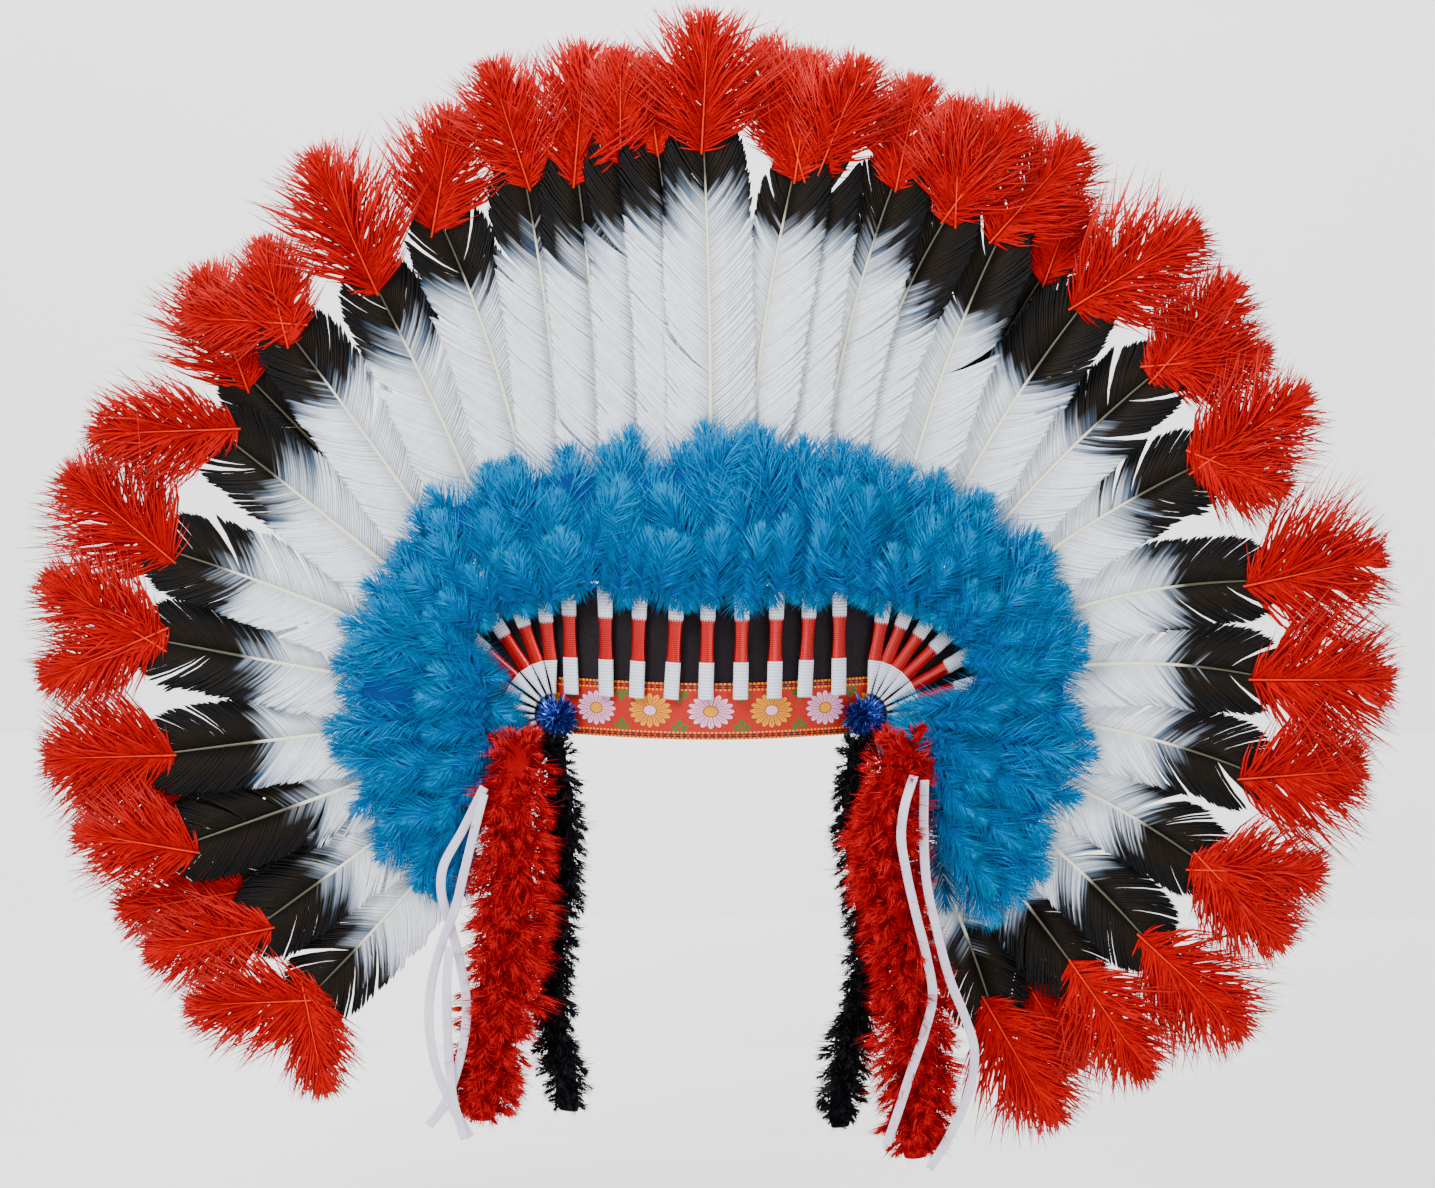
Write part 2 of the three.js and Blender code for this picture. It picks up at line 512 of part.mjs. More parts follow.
function boaPlace(row, side) {
  return {
    x: side * row.out * boaLength,
    z: pivotHeight - rosetteRadius - seatGap - row.drop * boaLength,
    half: row.half * boaLength,
  };
}

// The top of a boa lies on the bound quills, and the rest swells out from there to its full layer.
function boaLayer(layer, index) {
  const onQuills = fanLayer + wrapHalfThickness + seatGap + redBoaHalfThickness * boaTopFullness;
  return THREE.MathUtils.lerp(Math.min(onQuills, layer), layer, Math.min(1, index / boaSwellRows));
}

function boa(rows, side, layer, halfThickness) {
  const sides = 8;
  const count = rows.length;
  return loft(rows.map((row, index) => {
    const { x, z, half } = boaPlace(row, side);
    const fullness = index === 0 || index === count - 1 ? boaTopFullness : 1;
    return Array.from({ length: sides }, (_, i) => {
      const angle = 2 * Math.PI * (i + (index % 2) / 2) / sides;
      const lock = 1 - boaLock * ((i + index) % 2);
      return place(x + Math.cos(angle) * half * lock, z,
        boaLayer(layer, index) + Math.sin(angle) * halfThickness * fullness * lock);
    });
  }));
}

// How far a red boa's front stands out at a place, so that the ties lie on it.
function boaFront(rows, side, x, z) {
  const places = rows.map((row) => boaPlace(row, side));
  const below = places.findIndex((section) => section.z <= z);
  const index = below < 0 ? places.length - 1 : Math.max(1, below);
  const [upper, lower] = [places[index - 1], places[index]];
  const share = THREE.MathUtils.clamp((z - upper.z) / (lower.z - upper.z), 0, 1);
  const middle = THREE.MathUtils.lerp(upper.x, lower.x, share);
  const half = Math.max(upper.half, lower.half) * (1 + boaLock);
  const offset = Math.min(Math.abs(x - middle) / half, 1);
  const layer = boaLayer(redBoaLayer, index - 1 + share);
  return layer + redBoaHalfThickness * Math.sqrt(1 - boaEdgeEase * offset * offset);
}

function tie({ seat, from, layer, boa: name, points }) {
  const side = name === "left" ? -1 : 1;
  const rows = name === "left" ? redBoaLeft : redBoaRight;
  const route = new THREE.CatmullRomCurve3(points.map(([x, z], i) => {
    const under = THREE.MathUtils.lerp(from, layer, Math.min(1, i / tieRiseSteps));
    return place(x, z, boaFront(rows, side, x, z) + seat + tieThickness / 2 + under * tieLayerStep);
  }), false, "centripetal");
  const steps = Math.round(route.getLength() / (2.6 * tieWidth));
  const outline = [[-1, 0.6], [-0.85, 1], [0.85, 1], [1, 0.6], [1, -0.6], [0.85, -1], [-0.85, -1], [-1, -0.6]];
  return loft(route.getSpacedPoints(steps).map((point, i) => {
    const way = route.getTangentAt(i / steps);
    const right = new THREE.Vector3(way.z, 0, -way.x).normalize();
    const out = new THREE.Vector3().crossVectors(right, way).normalize();
    return outline.map(([across, up]) => point.clone().addScaledVector(right, across * tieWidth / 2)
      .addScaledVector(out, up * tieThickness / 2));
  }));
}

addPiece("felt_base", felt(), colours.felt, 0.95);
addPiece("brow_ribbon", browRibbon(), colours.ribbon, 0.6);
addPiece("rosette_left", rosette(-1), colours.rosette, 0.35);
addPiece("rosette_right", rosette(1), colours.rosette, 0.35);
featherTable.forEach((row, index) => {
  addPiece(`feather_${String(index + 1).padStart(2, "0")}`, feather(row, index), colours.feather);
});
backTable.forEach((row, index) => addPiece(`back_feather_${index + 1}`, backFeather(row, index), colours.backFeather));
for (const part of ["left", "crown", "right"]) {
  addPiece(`blue_ring_${part}`, ring(part), colours.ring);
}
addPiece("red_boa_left", boa(redBoaLeft, -1, redBoaLayer, redBoaHalfThickness), colours.redBoa);
addPiece("red_boa_right", boa(redBoaRight, 1, redBoaLayer, redBoaHalfThickness), colours.redBoa);
addPiece("black_boa_left", boa(blackBoaLeft, -1, blackBoaLayer, blackBoaHalfThickness), colours.blackBoa);
addPiece("black_boa_right", boa(blackBoaRight, 1, blackBoaLayer, blackBoaHalfThickness), colours.blackBoa);
for (const [name, route] of Object.entries(tieRoutes)) {
  addPiece(name, tie(route), colours.tie, 0.4);
}

export default headdress;
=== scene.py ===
# %% [markdown]
# A feathered headdress, piece by piece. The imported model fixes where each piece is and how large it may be,
# and this lesson gives each one its real surface: barbs, down, thread, weave and felt. It starts by loading
# that model as a frame. The lengths below repeat the model's own, so the pieces land where its solids are.

# %% Load the frame
import bpy
import numpy as np
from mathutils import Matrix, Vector


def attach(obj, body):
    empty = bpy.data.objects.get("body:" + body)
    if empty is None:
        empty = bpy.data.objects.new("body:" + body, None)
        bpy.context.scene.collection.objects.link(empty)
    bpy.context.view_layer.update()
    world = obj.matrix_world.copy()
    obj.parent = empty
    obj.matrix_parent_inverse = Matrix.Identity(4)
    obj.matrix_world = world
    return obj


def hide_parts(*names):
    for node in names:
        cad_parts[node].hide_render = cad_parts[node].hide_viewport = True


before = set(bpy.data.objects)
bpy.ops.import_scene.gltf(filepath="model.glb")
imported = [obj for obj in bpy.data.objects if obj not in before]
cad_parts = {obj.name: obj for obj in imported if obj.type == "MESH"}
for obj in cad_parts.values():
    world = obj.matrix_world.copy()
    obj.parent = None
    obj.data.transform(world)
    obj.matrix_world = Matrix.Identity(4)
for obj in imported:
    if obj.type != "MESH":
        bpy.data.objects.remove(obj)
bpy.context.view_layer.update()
MM = 0.001
print("nodes in the frame:", len(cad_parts))

# %% [markdown]
# Every piece lies in a layer over one bowed surface: the face of the felt band, which curves round the brow
# and flattens towards the tips. So each shape is first laid out flat, as x across, z up and a distance to
# the front, and then placed on that surface. Working flat keeps the formulas short and the layers clear of
# each other.

# %% The bowed surface
HEAD_HALF_DEPTH = 98 * MM
BAND_BOW = 70 * MM
WING_HALF_SPAN = 150 * MM
PIVOT_HALF_SPAN = 82.3 * MM
PIVOT_HEIGHT = 9.2 * MM
FELT_RADIUS = 73 * MM
FELT_WALL = 2 * MM
FAN_REACH = 305 * MM
FAN_CENTRE_HEIGHT = 15 * MM
TIP_FLATTENING = 0.6
RAKE = 0.08
RAKE_SOFTNESS = 40 * MM


def surface(x, z):
    """Depth y of the felt's face: a cosine bell across x, which fades with the distance from the band."""
    side = np.maximum(np.abs(x) - PIVOT_HALF_SPAN, 0)
    beyond = np.maximum(np.hypot(side, z - PIVOT_HEIGHT) - FELT_RADIUS, 0)
    eased = beyond ** 2 / (beyond + RAKE_SOFTNESS)
    across = np.minimum(np.abs(x) / WING_HALF_SPAN, 1)
    bow = BAND_BOW * (1 + np.cos(np.pi * across)) / 2
    kept = 1 - TIP_FLATTENING * np.minimum(eased / FAN_REACH, 1)
    return BAND_BOW - HEAD_HALF_DEPTH - FELT_WALL - bow * kept + RAKE * eased


def place(flat):
    """Turns flat points (x, z, distance to the front) into points in space."""
    x, z, front = flat[..., 0], flat[..., 1], flat[..., 2]
    return np.stack([x, surface(x, z) - front, z], axis=-1)


def heading(lean):
    """Direction in the flat layout that leans clockwise from straight up by so many degrees."""
    angle = np.radians(lean)
    return np.stack([np.sin(angle), np.cos(angle)], axis=-1)


def smooth_step(low, high, value):
    """0 at low, 1 at high, and a smooth cubic between them."""
    share = np.clip((value - low) / (high - low), 0, 1)
    return share * share * (3 - 2 * share)


print("depth y of the brow's middle and ends, m:", np.round(surface(np.array([0, PIVOT_HALF_SPAN]), 0), 4))

# %% [markdown]
# All meshes are made the same way: arrays of points and of faces go straight into the mesh, and a colour
# for each point is kept as an attribute called paint, which the materials read. A feather changes colour
# from barb to barb, so colour by point suits it better than an image.

# %% Helpers that make meshes
def add_mesh(name, points, faces, materials, node, paint=None, uv=None, face_material=None,
             smooth=True):
    """A mesh object from arrays: points (n, 3), faces (m, 3 or 4), and colours or UV by point."""
    mesh = bpy.data.meshes.new(name)
    sides = faces.shape[1]
    mesh.vertices.add(len(points))
    mesh.vertices.foreach_set("co", np.ascontiguousarray(points, dtype=np.float32).ravel())
    mesh.loops.add(faces.size)
    mesh.loops.foreach_set("vertex_index", faces.astype(np.int32).ravel())
    mesh.polygons.add(len(faces))
    mesh.polygons.foreach_set("loop_start", np.arange(0, faces.size, sides, dtype=np.int32))
    if paint is not None:
        colours = np.ones((len(points), 4), dtype=np.float32)
        colours[:, :3] = np.clip(paint, 0, 1)
        mesh.attributes.new("paint", "FLOAT_COLOR", "POINT").data.foreach_set("color", colours.ravel())
    if uv is not None:
        layer = mesh.uv_layers.new(name="UVMap")
        layer.data.foreach_set("uv", uv[faces.ravel()].astype(np.float32).ravel())
    for material in materials:
        mesh.materials.append(material)
    if face_material is not None:
        mesh.polygons.foreach_set("material_index", face_material.astype(np.int32))
    mesh.polygons.foreach_set("use_smooth", np.full(len(faces), smooth))
    mesh.update(calc_edges=True)
    mesh.validate()
    piece = bpy.data.objects.new(name, mesh)
    bpy.context.scene.collection.objects.link(piece)
    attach(piece, "root")
    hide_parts(node)
    return piece


def grid_faces(rows, columns, closed):
    """Quads over a grid of points, row by row; a closed grid joins its last column to its first."""
    row_number, column_number = np.arange(rows - 1), np.arange(columns if closed else columns - 1)
    row, column = np.meshgrid(row_number, column_number, indexing="ij")
    following = (column + 1) % columns
    corners = [row * columns + column, row * columns + following,
               (row + 1) * columns + following, (row + 1) * columns + column]
    return np.stack(corners, axis=-1).reshape(-1, 4)


def tube_points(rings):
    """Closes a stack of rings (rows, columns, 3) with a middle point at each end, as points and triangles."""
    rows, columns = rings.shape[:2]
    ends = np.stack([rings[0].mean(axis=0), rings[-1].mean(axis=0)])
    points = np.concatenate([rings.reshape(-1, 3), ends])
    quads = grid_faces(rows, columns, closed=True)
    sides = np.concatenate([quads[:, [0, 1, 2]], quads[:, [0, 2, 3]]])
    ring = np.arange(columns)
    following = (ring + 1) % columns
    last = (rows - 1) * columns
    first_cap = np.stack([following, ring, np.full(columns, rows * columns)], axis=-1)
    last_cap = np.stack([last + ring, last + following, np.full(columns, rows * columns + 1)], axis=-1)
    return points, outward(points, np.concatenate([sides, first_cap, last_cap]))


def outward(points, triangles):
    """Turns all triangles round if the volume that they close comes out negative."""
    a, b, c = (points[triangles[:, i]] for i in range(3))
    return triangles if np.einsum("ij,ij->i", a, np.cross(b, c)).sum() > 0 else triangles[:, ::-1]


print("quads round a tube of 4 rings of 8 points:", len(grid_faces(4, 8, closed=True)))

# %% [markdown]
# A barb, a strand of down and a strip of tinsel are one shape: a thin strand with three sides that runs
# along a path and ends in a point. A hair system would look alike, but it leaves no mesh, so the strands
# are made here as closed meshes, thousands at once. Their section is a flat triangle whose ridge faces the
# front. With three sides and few steps each one has only a handful of triangles.

# %% Strands
def strands(paths, across, lift, half_width, thickness):
    """Closed three-sided strands. paths (n, s, 3) are flat points, and across and lift (n, s, 3) the strand's
    own side and front directions. A section is path +/- across * half_width and path + lift * thickness, and
    the last section is one point. Returns points, faces, each point's share of the way and its strand."""
    count, steps = paths.shape[:2]
    body = slice(0, steps - 1)
    width = half_width[..., None]
    left = paths[:, body] - across[:, body] * width[:, body]
    right = paths[:, body] + across[:, body] * width[:, body]
    ridge = paths[:, body] + lift[:, body] * thickness[:, body, None]
    rings = np.stack([left, right, ridge], axis=2).reshape(count, -1, 3)
    flat = np.concatenate([rings, paths[:, -1:]], axis=1)
    rows = steps - 1
    sides = []
    for row in range(rows - 1):
        for corner in range(3):
            a, b = row * 3 + corner, row * 3 + (corner + 1) % 3
            sides += [[a, b, b + 3], [a, b + 3, a + 3]]
    last = (rows - 1) * 3
    sides += [[last + corner, last + (corner + 1) % 3, rows * 3] for corner in range(3)]
    sides.append([0, 2, 1])
    one = np.array(sides)
    per_strand = rows * 3 + 1
    faces = (one[None] + (np.arange(count) * per_strand)[:, None, None]).reshape(-1, 3)
    along = np.concatenate([np.repeat(np.linspace(0, 1, steps)[:-1], 3), [1.0]])
    return flat.reshape(-1, 3), faces, np.tile(along, count), np.repeat(np.arange(count), per_strand)


def unit(vectors):
    """Vectors scaled to length one."""
    return vectors / np.maximum(np.linalg.norm(vectors, axis=-1, keepdims=True), 1e-9)


blank = np.zeros((1, 3, 3))
test_faces = strands(blank, blank, blank, blank[..., 0], blank[..., 0])[1]
print("triangles in a strand of three steps:", len(test_faces))

# %% [markdown]
# Down such as marabou grows on a soft shaft, with long loose barbs on both sides that curl forwards and
# wave. A tuft of it is worked out in its own plane, along the shaft and across it, and then turned into
# place. Particles could spread the strands, but a formula keeps each one inside the tuft's outline. One
# function makes the blue ring, the red plumes and the boas, with other lengths, widths and colours.

# %% Tufts of down
TUFT_END = 1.04
LEAST_SLANT = 3
TUFT_WALK = np.linspace(0.02, 0.95, 48)
FORWARD_CURL, INWARD_CURL = 0.10, 0.05
WAVE_TURN = 2.4 * np.pi
STRAND_TAPER = 0.6
STRAND_SIZES = (0.7, 1.25)


def tuft_outline(share, fullest, foot):
    """Half width of a tuft along itself, as a share of the full one: it opens like a fan up to the fullest
    place and closes with a quarter of an ellipse."""
    opening = foot + (1 - foot) * smooth_step(0, fullest, share)
    closing = np.sqrt(np.clip(1 - (np.maximum(share - fullest, 0) / (TUFT_END - fullest)) ** 2, 0, 1))
    return opening * closing


def tufts(root, way, side, length, width, count, seed, half_width, dome, wave, steps, fullest, foot, slants,
          spread=13, reaches=(0.72, 1.10), shares=(0.0, 0.93)):
    """Down strands of many tufts. A strand leaves the shaft at a share of its length, with a slant that falls
    from the root to the tip, is as long as the tuft's outline allows, curls forwards by the square of its own
    share, waves by a sine and rises over the tuft's plane by dome. Returns points, faces, share of the way,
    strand, and for each strand its share of the shaft and a chance number."""
    random = np.random.default_rng(seed)
    total = len(root) * count
    tuft = np.repeat(np.arange(len(root)), count)
    share = random.uniform(shares[0], shares[1], total)
    hand = np.where(random.random(total) < 0.5, -1.0, 1.0)
    slant = np.radians(slants[0] - (slants[0] - slants[1]) * share + random.normal(0, spread, total))
    slant = np.maximum(slant, np.radians(LEAST_SLANT))
    walk = TUFT_WALK[None] * length[tuft][:, None]
    out = walk * np.sin(slant)[:, None]
    reached = share[:, None] + walk * np.cos(slant)[:, None] / length[tuft][:, None]
    beyond = out >= tuft_outline(reached, fullest, foot) * width[tuft][:, None] / 2
    reach = walk[np.arange(total), np.where(beyond.any(axis=1), beyond.argmax(axis=1), len(TUFT_WALK) - 1)]
    reach = reach * random.uniform(reaches[0], reaches[1], total)
    part = np.linspace(0, 1, steps)[None]
    phase = random.uniform(0, 2 * np.pi, total)[:, None]
    swing = (np.sin(phase + part * WAVE_TURN) - np.sin(phase)) * wave * part
    ahead = np.cos(slant)[:, None] * part + FORWARD_CURL * part ** 2
    forward = share[:, None] * length[tuft][:, None] + reach[:, None] * ahead
    aside = np.sin(slant)[:, None] * part - INWARD_CURL * part ** 2 + swing
    sideways = hand[:, None] * reach[:, None] * aside
    tilt = random.normal(0.25, 0.8, total)[:, None]
    rise = reach[:, None] * dome * (tilt * part + 0.5 * np.sin(np.pi * part))
    normal = unit(np.cross(way, side))
    normal = np.where(normal[:, 2:] < 0, -normal, normal)
    paths = (root[tuft][:, None] + way[tuft][:, None] * forward[..., None]
             + side[tuft][:, None] * sideways[..., None] + normal[tuft][:, None] * rise[..., None])
    tangent = unit(np.gradient(paths, axis=1))
    facing = normal[tuft][:, None]
    lift = unit(facing - tangent * np.sum(tangent * facing, axis=-1, keepdims=True))
    across = np.cross(tangent, lift)
    half = half_width * (1 - STRAND_TAPER * part) * random.uniform(*STRAND_SIZES, total)[:, None]
    flat, faces, along, owner = strands(paths, across, lift, half, half * 1.1)
    return flat, faces, along, owner, share, random.random(total)


def strand_shade(chance, least, most):
    """A brightness for each strand, so that neighbours stand apart."""
    return (least + (most - least) * (chance * 7.3 % 1.0))[:, None]


def mix(first, second, share):
    """Colours between two, by a share for each point."""
    share = np.asarray(share)[..., None]
    return np.asarray(first) * (1 - share) + np.asarray(second) * share


print("half width along a tuft:", np.round(tuft_outline(np.linspace(0, 1, 6), fullest=0.6, foot=0.35), 2))

# %% [markdown]
# Materials come next. Feather and down are fibres: matt, with hardly any gloss, while quill horn and tinsel
# shine. A sheen would seem right for down, but over so many strands it adds up to a white haze, so these
# have none. Each material reads the paint attribute and breaks it up with fine noise on Object coordinates,
# so that no surface is one flat colour.

# %% Fibre materials
def new_material(name, roughness, specular, sheen=0.0, metallic=0.0):
    """A Principled material whose constant values sit on the shader's own sockets."""
    material = bpy.data.materials.new(name)
    material.use_nodes = True
    shader = material.node_tree.nodes["Principled BSDF"]
    shader.inputs["Roughness"].default_value = roughness
    shader.inputs["Sheen Weight"].default_value = sheen
    shader.inputs["Specular IOR Level"].default_value = specular
    shader.inputs["Metallic"].default_value = metallic
    return material, shader


def noise_node(material, scale, detail=3.0):
    """Noise on Object coordinates."""
    nodes, links = material.node_tree.nodes, material.node_tree.links
    coordinates = nodes.new("ShaderNodeTexCoord")
    noise = nodes.new("ShaderNodeTexNoise")
    noise.inputs["Scale"].default_value = scale
    noise.inputs["Detail"].default_value = detail
    links.new(coordinates.outputs["Object"], noise.inputs["Vector"])
    return noise


def painted_material(name, roughness, variation, scale, specular, metallic=0.0):
    """Paint attribute times a noise that runs from 1 - variation to 1 + variation."""
    material, shader = new_material(name, roughness, specular=specular, metallic=metallic)
    nodes, links = material.node_tree.nodes, material.node_tree.links
    paint = nodes.new("ShaderNodeAttribute")
    paint.attribute_name = "paint"
    noise = noise_node(material, scale)
    levels = nodes.new("ShaderNodeMapRange")
    levels.inputs["To Min"].default_value = 1 - variation
    levels.inputs["To Max"].default_value = 1 + variation
    scaled = nodes.new("ShaderNodeVectorMath")
    scaled.operation = "SCALE"
    links.new(noise.outputs["Fac"], levels.inputs["Value"])
    links.new(paint.outputs["Color"], scaled.inputs[0])
    links.new(levels.outputs["Result"], scaled.inputs["Scale"])
    links.new(scaled.outputs["Vector"], shader.inputs["Base Color"])
    return material


vane_material = painted_material("vane barbs", roughness=0.50, variation=0.16, scale=220, specular=0.14)
quill_material = painted_material("quill horn", roughness=0.35, variation=0.10, scale=300, specular=0.5)
down_material = painted_material("down", roughness=0.9, variation=0.22, scale=160, specular=0.04)
tinsel_material = painted_material("tinsel", roughness=0.18, variation=0.35, scale=500, specular=0.8,
                                   metallic=0.85)
print("fibre materials:", [material.name for material in bpy.data.materials])

# %% [markdown]
# The feathers' plan. A row for each front feather: root is its place along the brow as a share of the half
# span, wrap and tip are leans in degrees, reach is a share of the fan's reach, and dark is the share of the
# shaft at which the vane turns from white to black. The back row is darker and shows only between the front
# ones.

# %% Feather tables
COLUMNS = ("root", "wrap", "tip", "reach", "dark")
FRONT_ROWS = (
    (-1.0, -141.0, -126.7, 0.90, 0.69), (-1.0, -125.5, -116.9, 0.92, 0.62), (-1.0, -110.0, -105.6, 0.99, 0.52),
    (-1.0, -95.5, -95.8, 1.00, 0.60), (-1.0, -80.5, -83.8, 1.01, 0.62), (-1.0, -65.0, -74.6, 1.02, 0.74),
    (-1.0, -49.5, -61.4, 1.00, 0.72), (-1.0, -34.5, -48.7, 1.01, 0.78), (-1.0, -20.5, -38.7, 0.97, 0.78),
    (-1.0, -6.5, -29.4, 0.99, 0.79), (-0.905, -1.6, -19.4, 1.00, 0.82), (-0.676, -0.5, -14.0, 0.98, 0.79),
    (-0.479, 2.0, -9.1, 1.00, 0.80), (-0.256, 3.5, -5.6, 1.01, 0.82), (-0.033, 1.5, -0.8, 1.01, 0.85),
    (0.190, 1.0, 9.0, 0.97, 0.84), (0.407, 1.5, 11.9, 0.99, 0.80), (0.604, 3.0, 19.5, 1.00, 0.79),
    (0.827, 0.5, 26.2, 0.98, 0.74), (1.0, 10.0, 31.8, 0.99, 0.74), (1.0, 22.5, 43.2, 0.98, 0.70),
    (1.0, 35.0, 53.6, 1.00, 0.70), (1.0, 47.5, 64.3, 0.98, 0.70), (1.0, 61.5, 78.0, 1.01, 0.69),
    (1.0, 76.0, 88.0, 1.00, 0.68), (1.0, 92.0, 98.1, 0.99, 0.67), (1.0, 108.0, 108.9, 0.94, 0.66),
    (1.0, 124.0, 119.6, 0.91, 0.60), (1.0, 139.0, 127.1, 0.83, 0.58), (1.0, 154.0, 138.4, 0.76, 0.58),
)
BACK_ROWS = (
    (-1.0, -117.7, -112.0, 0.94, 0.35), (-1.0, -102.8, -99.6, 1.00, 0.35), (-1.0, -42.0, -55.0, 1.02, 0.45),
    (1.0, 16.2, 38.0, 0.98, 0.45), (1.0, 146.5, 133.0, 0.80, 0.35),
)
feathers = [dict(zip(COLUMNS, row), number=i + 1, back=False) for i, row in enumerate(FRONT_ROWS)]
feathers += [dict(zip(COLUMNS, row), number=i + 1, back=True) for i, row in enumerate(BACK_ROWS)]
for feather in feathers:
    feather["slot"] = "back_feather" if feather["back"] else "feather"
    digits = 1 if feather["back"] else 2
    feather["node"] = f"{feather['slot']}_{feather['number']:0{digits}d}"
print("feathers:", len(feathers))

# %% [markdown]
# A quill is bound straight, and its vane bends away from the binding's line to reach its place in the fan.
# So a shaft is a quadratic curve: it leaves the binding in the binding's direction and ends at the
# feather's tip. A curve object would do the same, but the barbs need points and directions anywhere on it,
# which a formula gives.

# %% Where each shaft runs
WRAP_BOTTOM = 21.6 * MM
WRAP_LENGTH = 59 * MM
WRAP_INNER_RADIUS = 12.2 * MM
WRAP_OUTER_RADIUS = 66 * MM
WRAP_HALF_WIDTH = 4.1 * MM
WRAP_HALF_THICKNESS = 3 * MM
WRAP_PLEAT = 1.15 * MM
SEAT_GAP = 0.3 * MM
RIBBON_THICKNESS = 1 * MM
VANE_TILT = 0.2
CENTRE_LIFT = 2.5 * MM
BACK_DROP = 5.8 * MM
FAN_LAYER = SEAT_GAP + WRAP_HALF_THICKNESS
BROW_LAYER = FAN_LAYER + SEAT_GAP + RIBBON_THICKNESS
OVER_RIBBON_LEAN = 12
MIDDLE_REACH = 0.3
MIDDLE_TRIM = 0.66


def lay_out(feather):
    """Adds to a feather its wrap's ends and direction, its tip and bend points, the side to which it shingles,
    the layer of its quill and that of its vane."""
    way = heading(feather["wrap"])
    beside = abs(feather["root"]) == 1
    pivot = np.array([feather["root"] * PIVOT_HALF_SPAN, PIVOT_HEIGHT if beside else WRAP_BOTTOM])
    feather["start"] = pivot + way * (WRAP_INNER_RADIUS if beside else 0)
    feather["end"] = pivot + way * (WRAP_OUTER_RADIUS if beside else WRAP_LENGTH)
    tip = np.array([0, FAN_CENTRE_HEIGHT]) + heading(feather["tip"]) * feather["reach"] * FAN_REACH
    feather["bend"] = feather["end"] + way * np.linalg.norm(tip - feather["end"]) / 2
    feather.update(way=way, beside=beside, tip_point=tip)
    feather["side"] = int(np.sign(round(feather["tip"] / 2)))
    over_ribbon = abs(feather["wrap"]) < OVER_RIBBON_LEAN and not feather["back"]
    feather["layer"] = BROW_LAYER if over_ribbon else FAN_LAYER
    feather["front"] = feather["layer"] + (CENTRE_LIFT if feather["side"] == 0 else 0)
    if feather["back"]:
        feather["front"] = -BACK_DROP


def shaft_at(feather, share):
    """Points and directions of the shaft's quadratic curve at shares of its length."""
    share = np.asarray(share)[..., None]
    first, bend, last = feather["end"], feather["bend"], feather["tip_point"]
    point = first * (1 - share) ** 2 + 2 * bend * share * (1 - share) + last * share ** 2
    way = 2 * (bend - first) * (1 - share) + 2 * (last - bend) * share
    return point, unit(way)


for feather in feathers:
    lay_out(feather)
longest = max(np.linalg.norm(feather["tip_point"] - feather["start"]) for feather in feathers)
print("longest feather, m:", round(float(longest), 3))

# %% [markdown]
# A vane is two rows of barbs. Each barb leaves the shaft at a slant, bends towards the tip and ends at the
# vane's outline. The barbs hold together in groups, and where a group parts from the next the vane splits.
# A flat blade with a see-through picture would be cheaper, but its splits and its edge would have no depth.
# The colour goes by place: white below, a steel-blue fringe, then black with a brown glow beside the shaft.

# %% Vane barbs
VANE_HALF_WIDTH = 26.5 * MM
BARBS_A_SIDE = 104
BARB_PART = np.array([0, 0.34, 0.66, 0.92, 1.0])
BARB_STEPS = len(BARB_PART)
WHITE = (0.84, 0.90, 0.98)
STEEL = (0.030, 0.09, 0.19)
BLACK = (0.0016, 0.0015, 0.0020)
BROWN = (0.0080, 0.0042, 0.0012)
IVORY = (0.86, 0.83, 0.66)
FIRST_BARB, LAST_BARB = 0.11, 0.985
ROOT_SLANT, TIP_SLANT = 50, 30
BARB_WALK = np.linspace(0, 48 * MM, 97)
BARB_CURL = 0.25 * MM
BARB_THICKNESS = 0.20 * MM
VANE_CAMBER = 0.7 * MM
SPLIT_CHANCE, SPLIT_TURN, LOOSE_TURN, SPLIT_RUN = 0.07, 4.5, 0.5, 21
BARB_BEND = np.radians(9 - 22 * BARB_PART)
BARB_OVERLAP = 0.72 + 0.10 * BARB_PART
STEEL_HEIGHTS, DARK_HEIGHTS = (-17 * MM, -2 * MM), (-4 * MM, 5 * MM)
GLOW_AWAY = 7 * MM
FRINGE_SCATTER, FRINGE_WAVE = 3.2 * MM, 5 * MM


def vane_width(share):
    """Half width of the vane at shares of the shaft, as a share of the full one: fast to open, blunt and round
    at the tip, where it follows a quarter of an ellipse."""
    opening = 0.35 + 0.65 * smooth_step(0.05, 0.36, share)
    rounding = np.sqrt(np.clip(1 - (np.maximum(share - 0.90, 0) / 0.145) ** 2, 0, 1))
    return opening * rounding


def barb_lengths(share, slant, total, full_width):
    """How long each barb must be to end on the vane's outline, found by walking out along its slant."""
    out = BARB_WALK * np.sin(slant)[:, None]
    along = share[:, None] + BARB_WALK * np.cos(slant)[:, None] / total
    beyond = out >= vane_width(along) * full_width
    return BARB_WALK[np.where(beyond.any(axis=1), beyond.argmax(axis=1), len(BARB_WALK) - 1)]


def splits(random, count):
    """Extra slant of each barb, in degrees: a walk that jumps where the vane splits, less its own mean over a
    run of barbs, so that it settles in between."""
    jumps = (random.random(count) < SPLIT_CHANCE) * random.normal(0, SPLIT_TURN, count)
    walk = np.cumsum(jumps)
    trend = np.convolve(walk, np.ones(SPLIT_RUN) / SPLIT_RUN, mode="same")
    return walk - trend + random.normal(0, LOOSE_TURN, count)


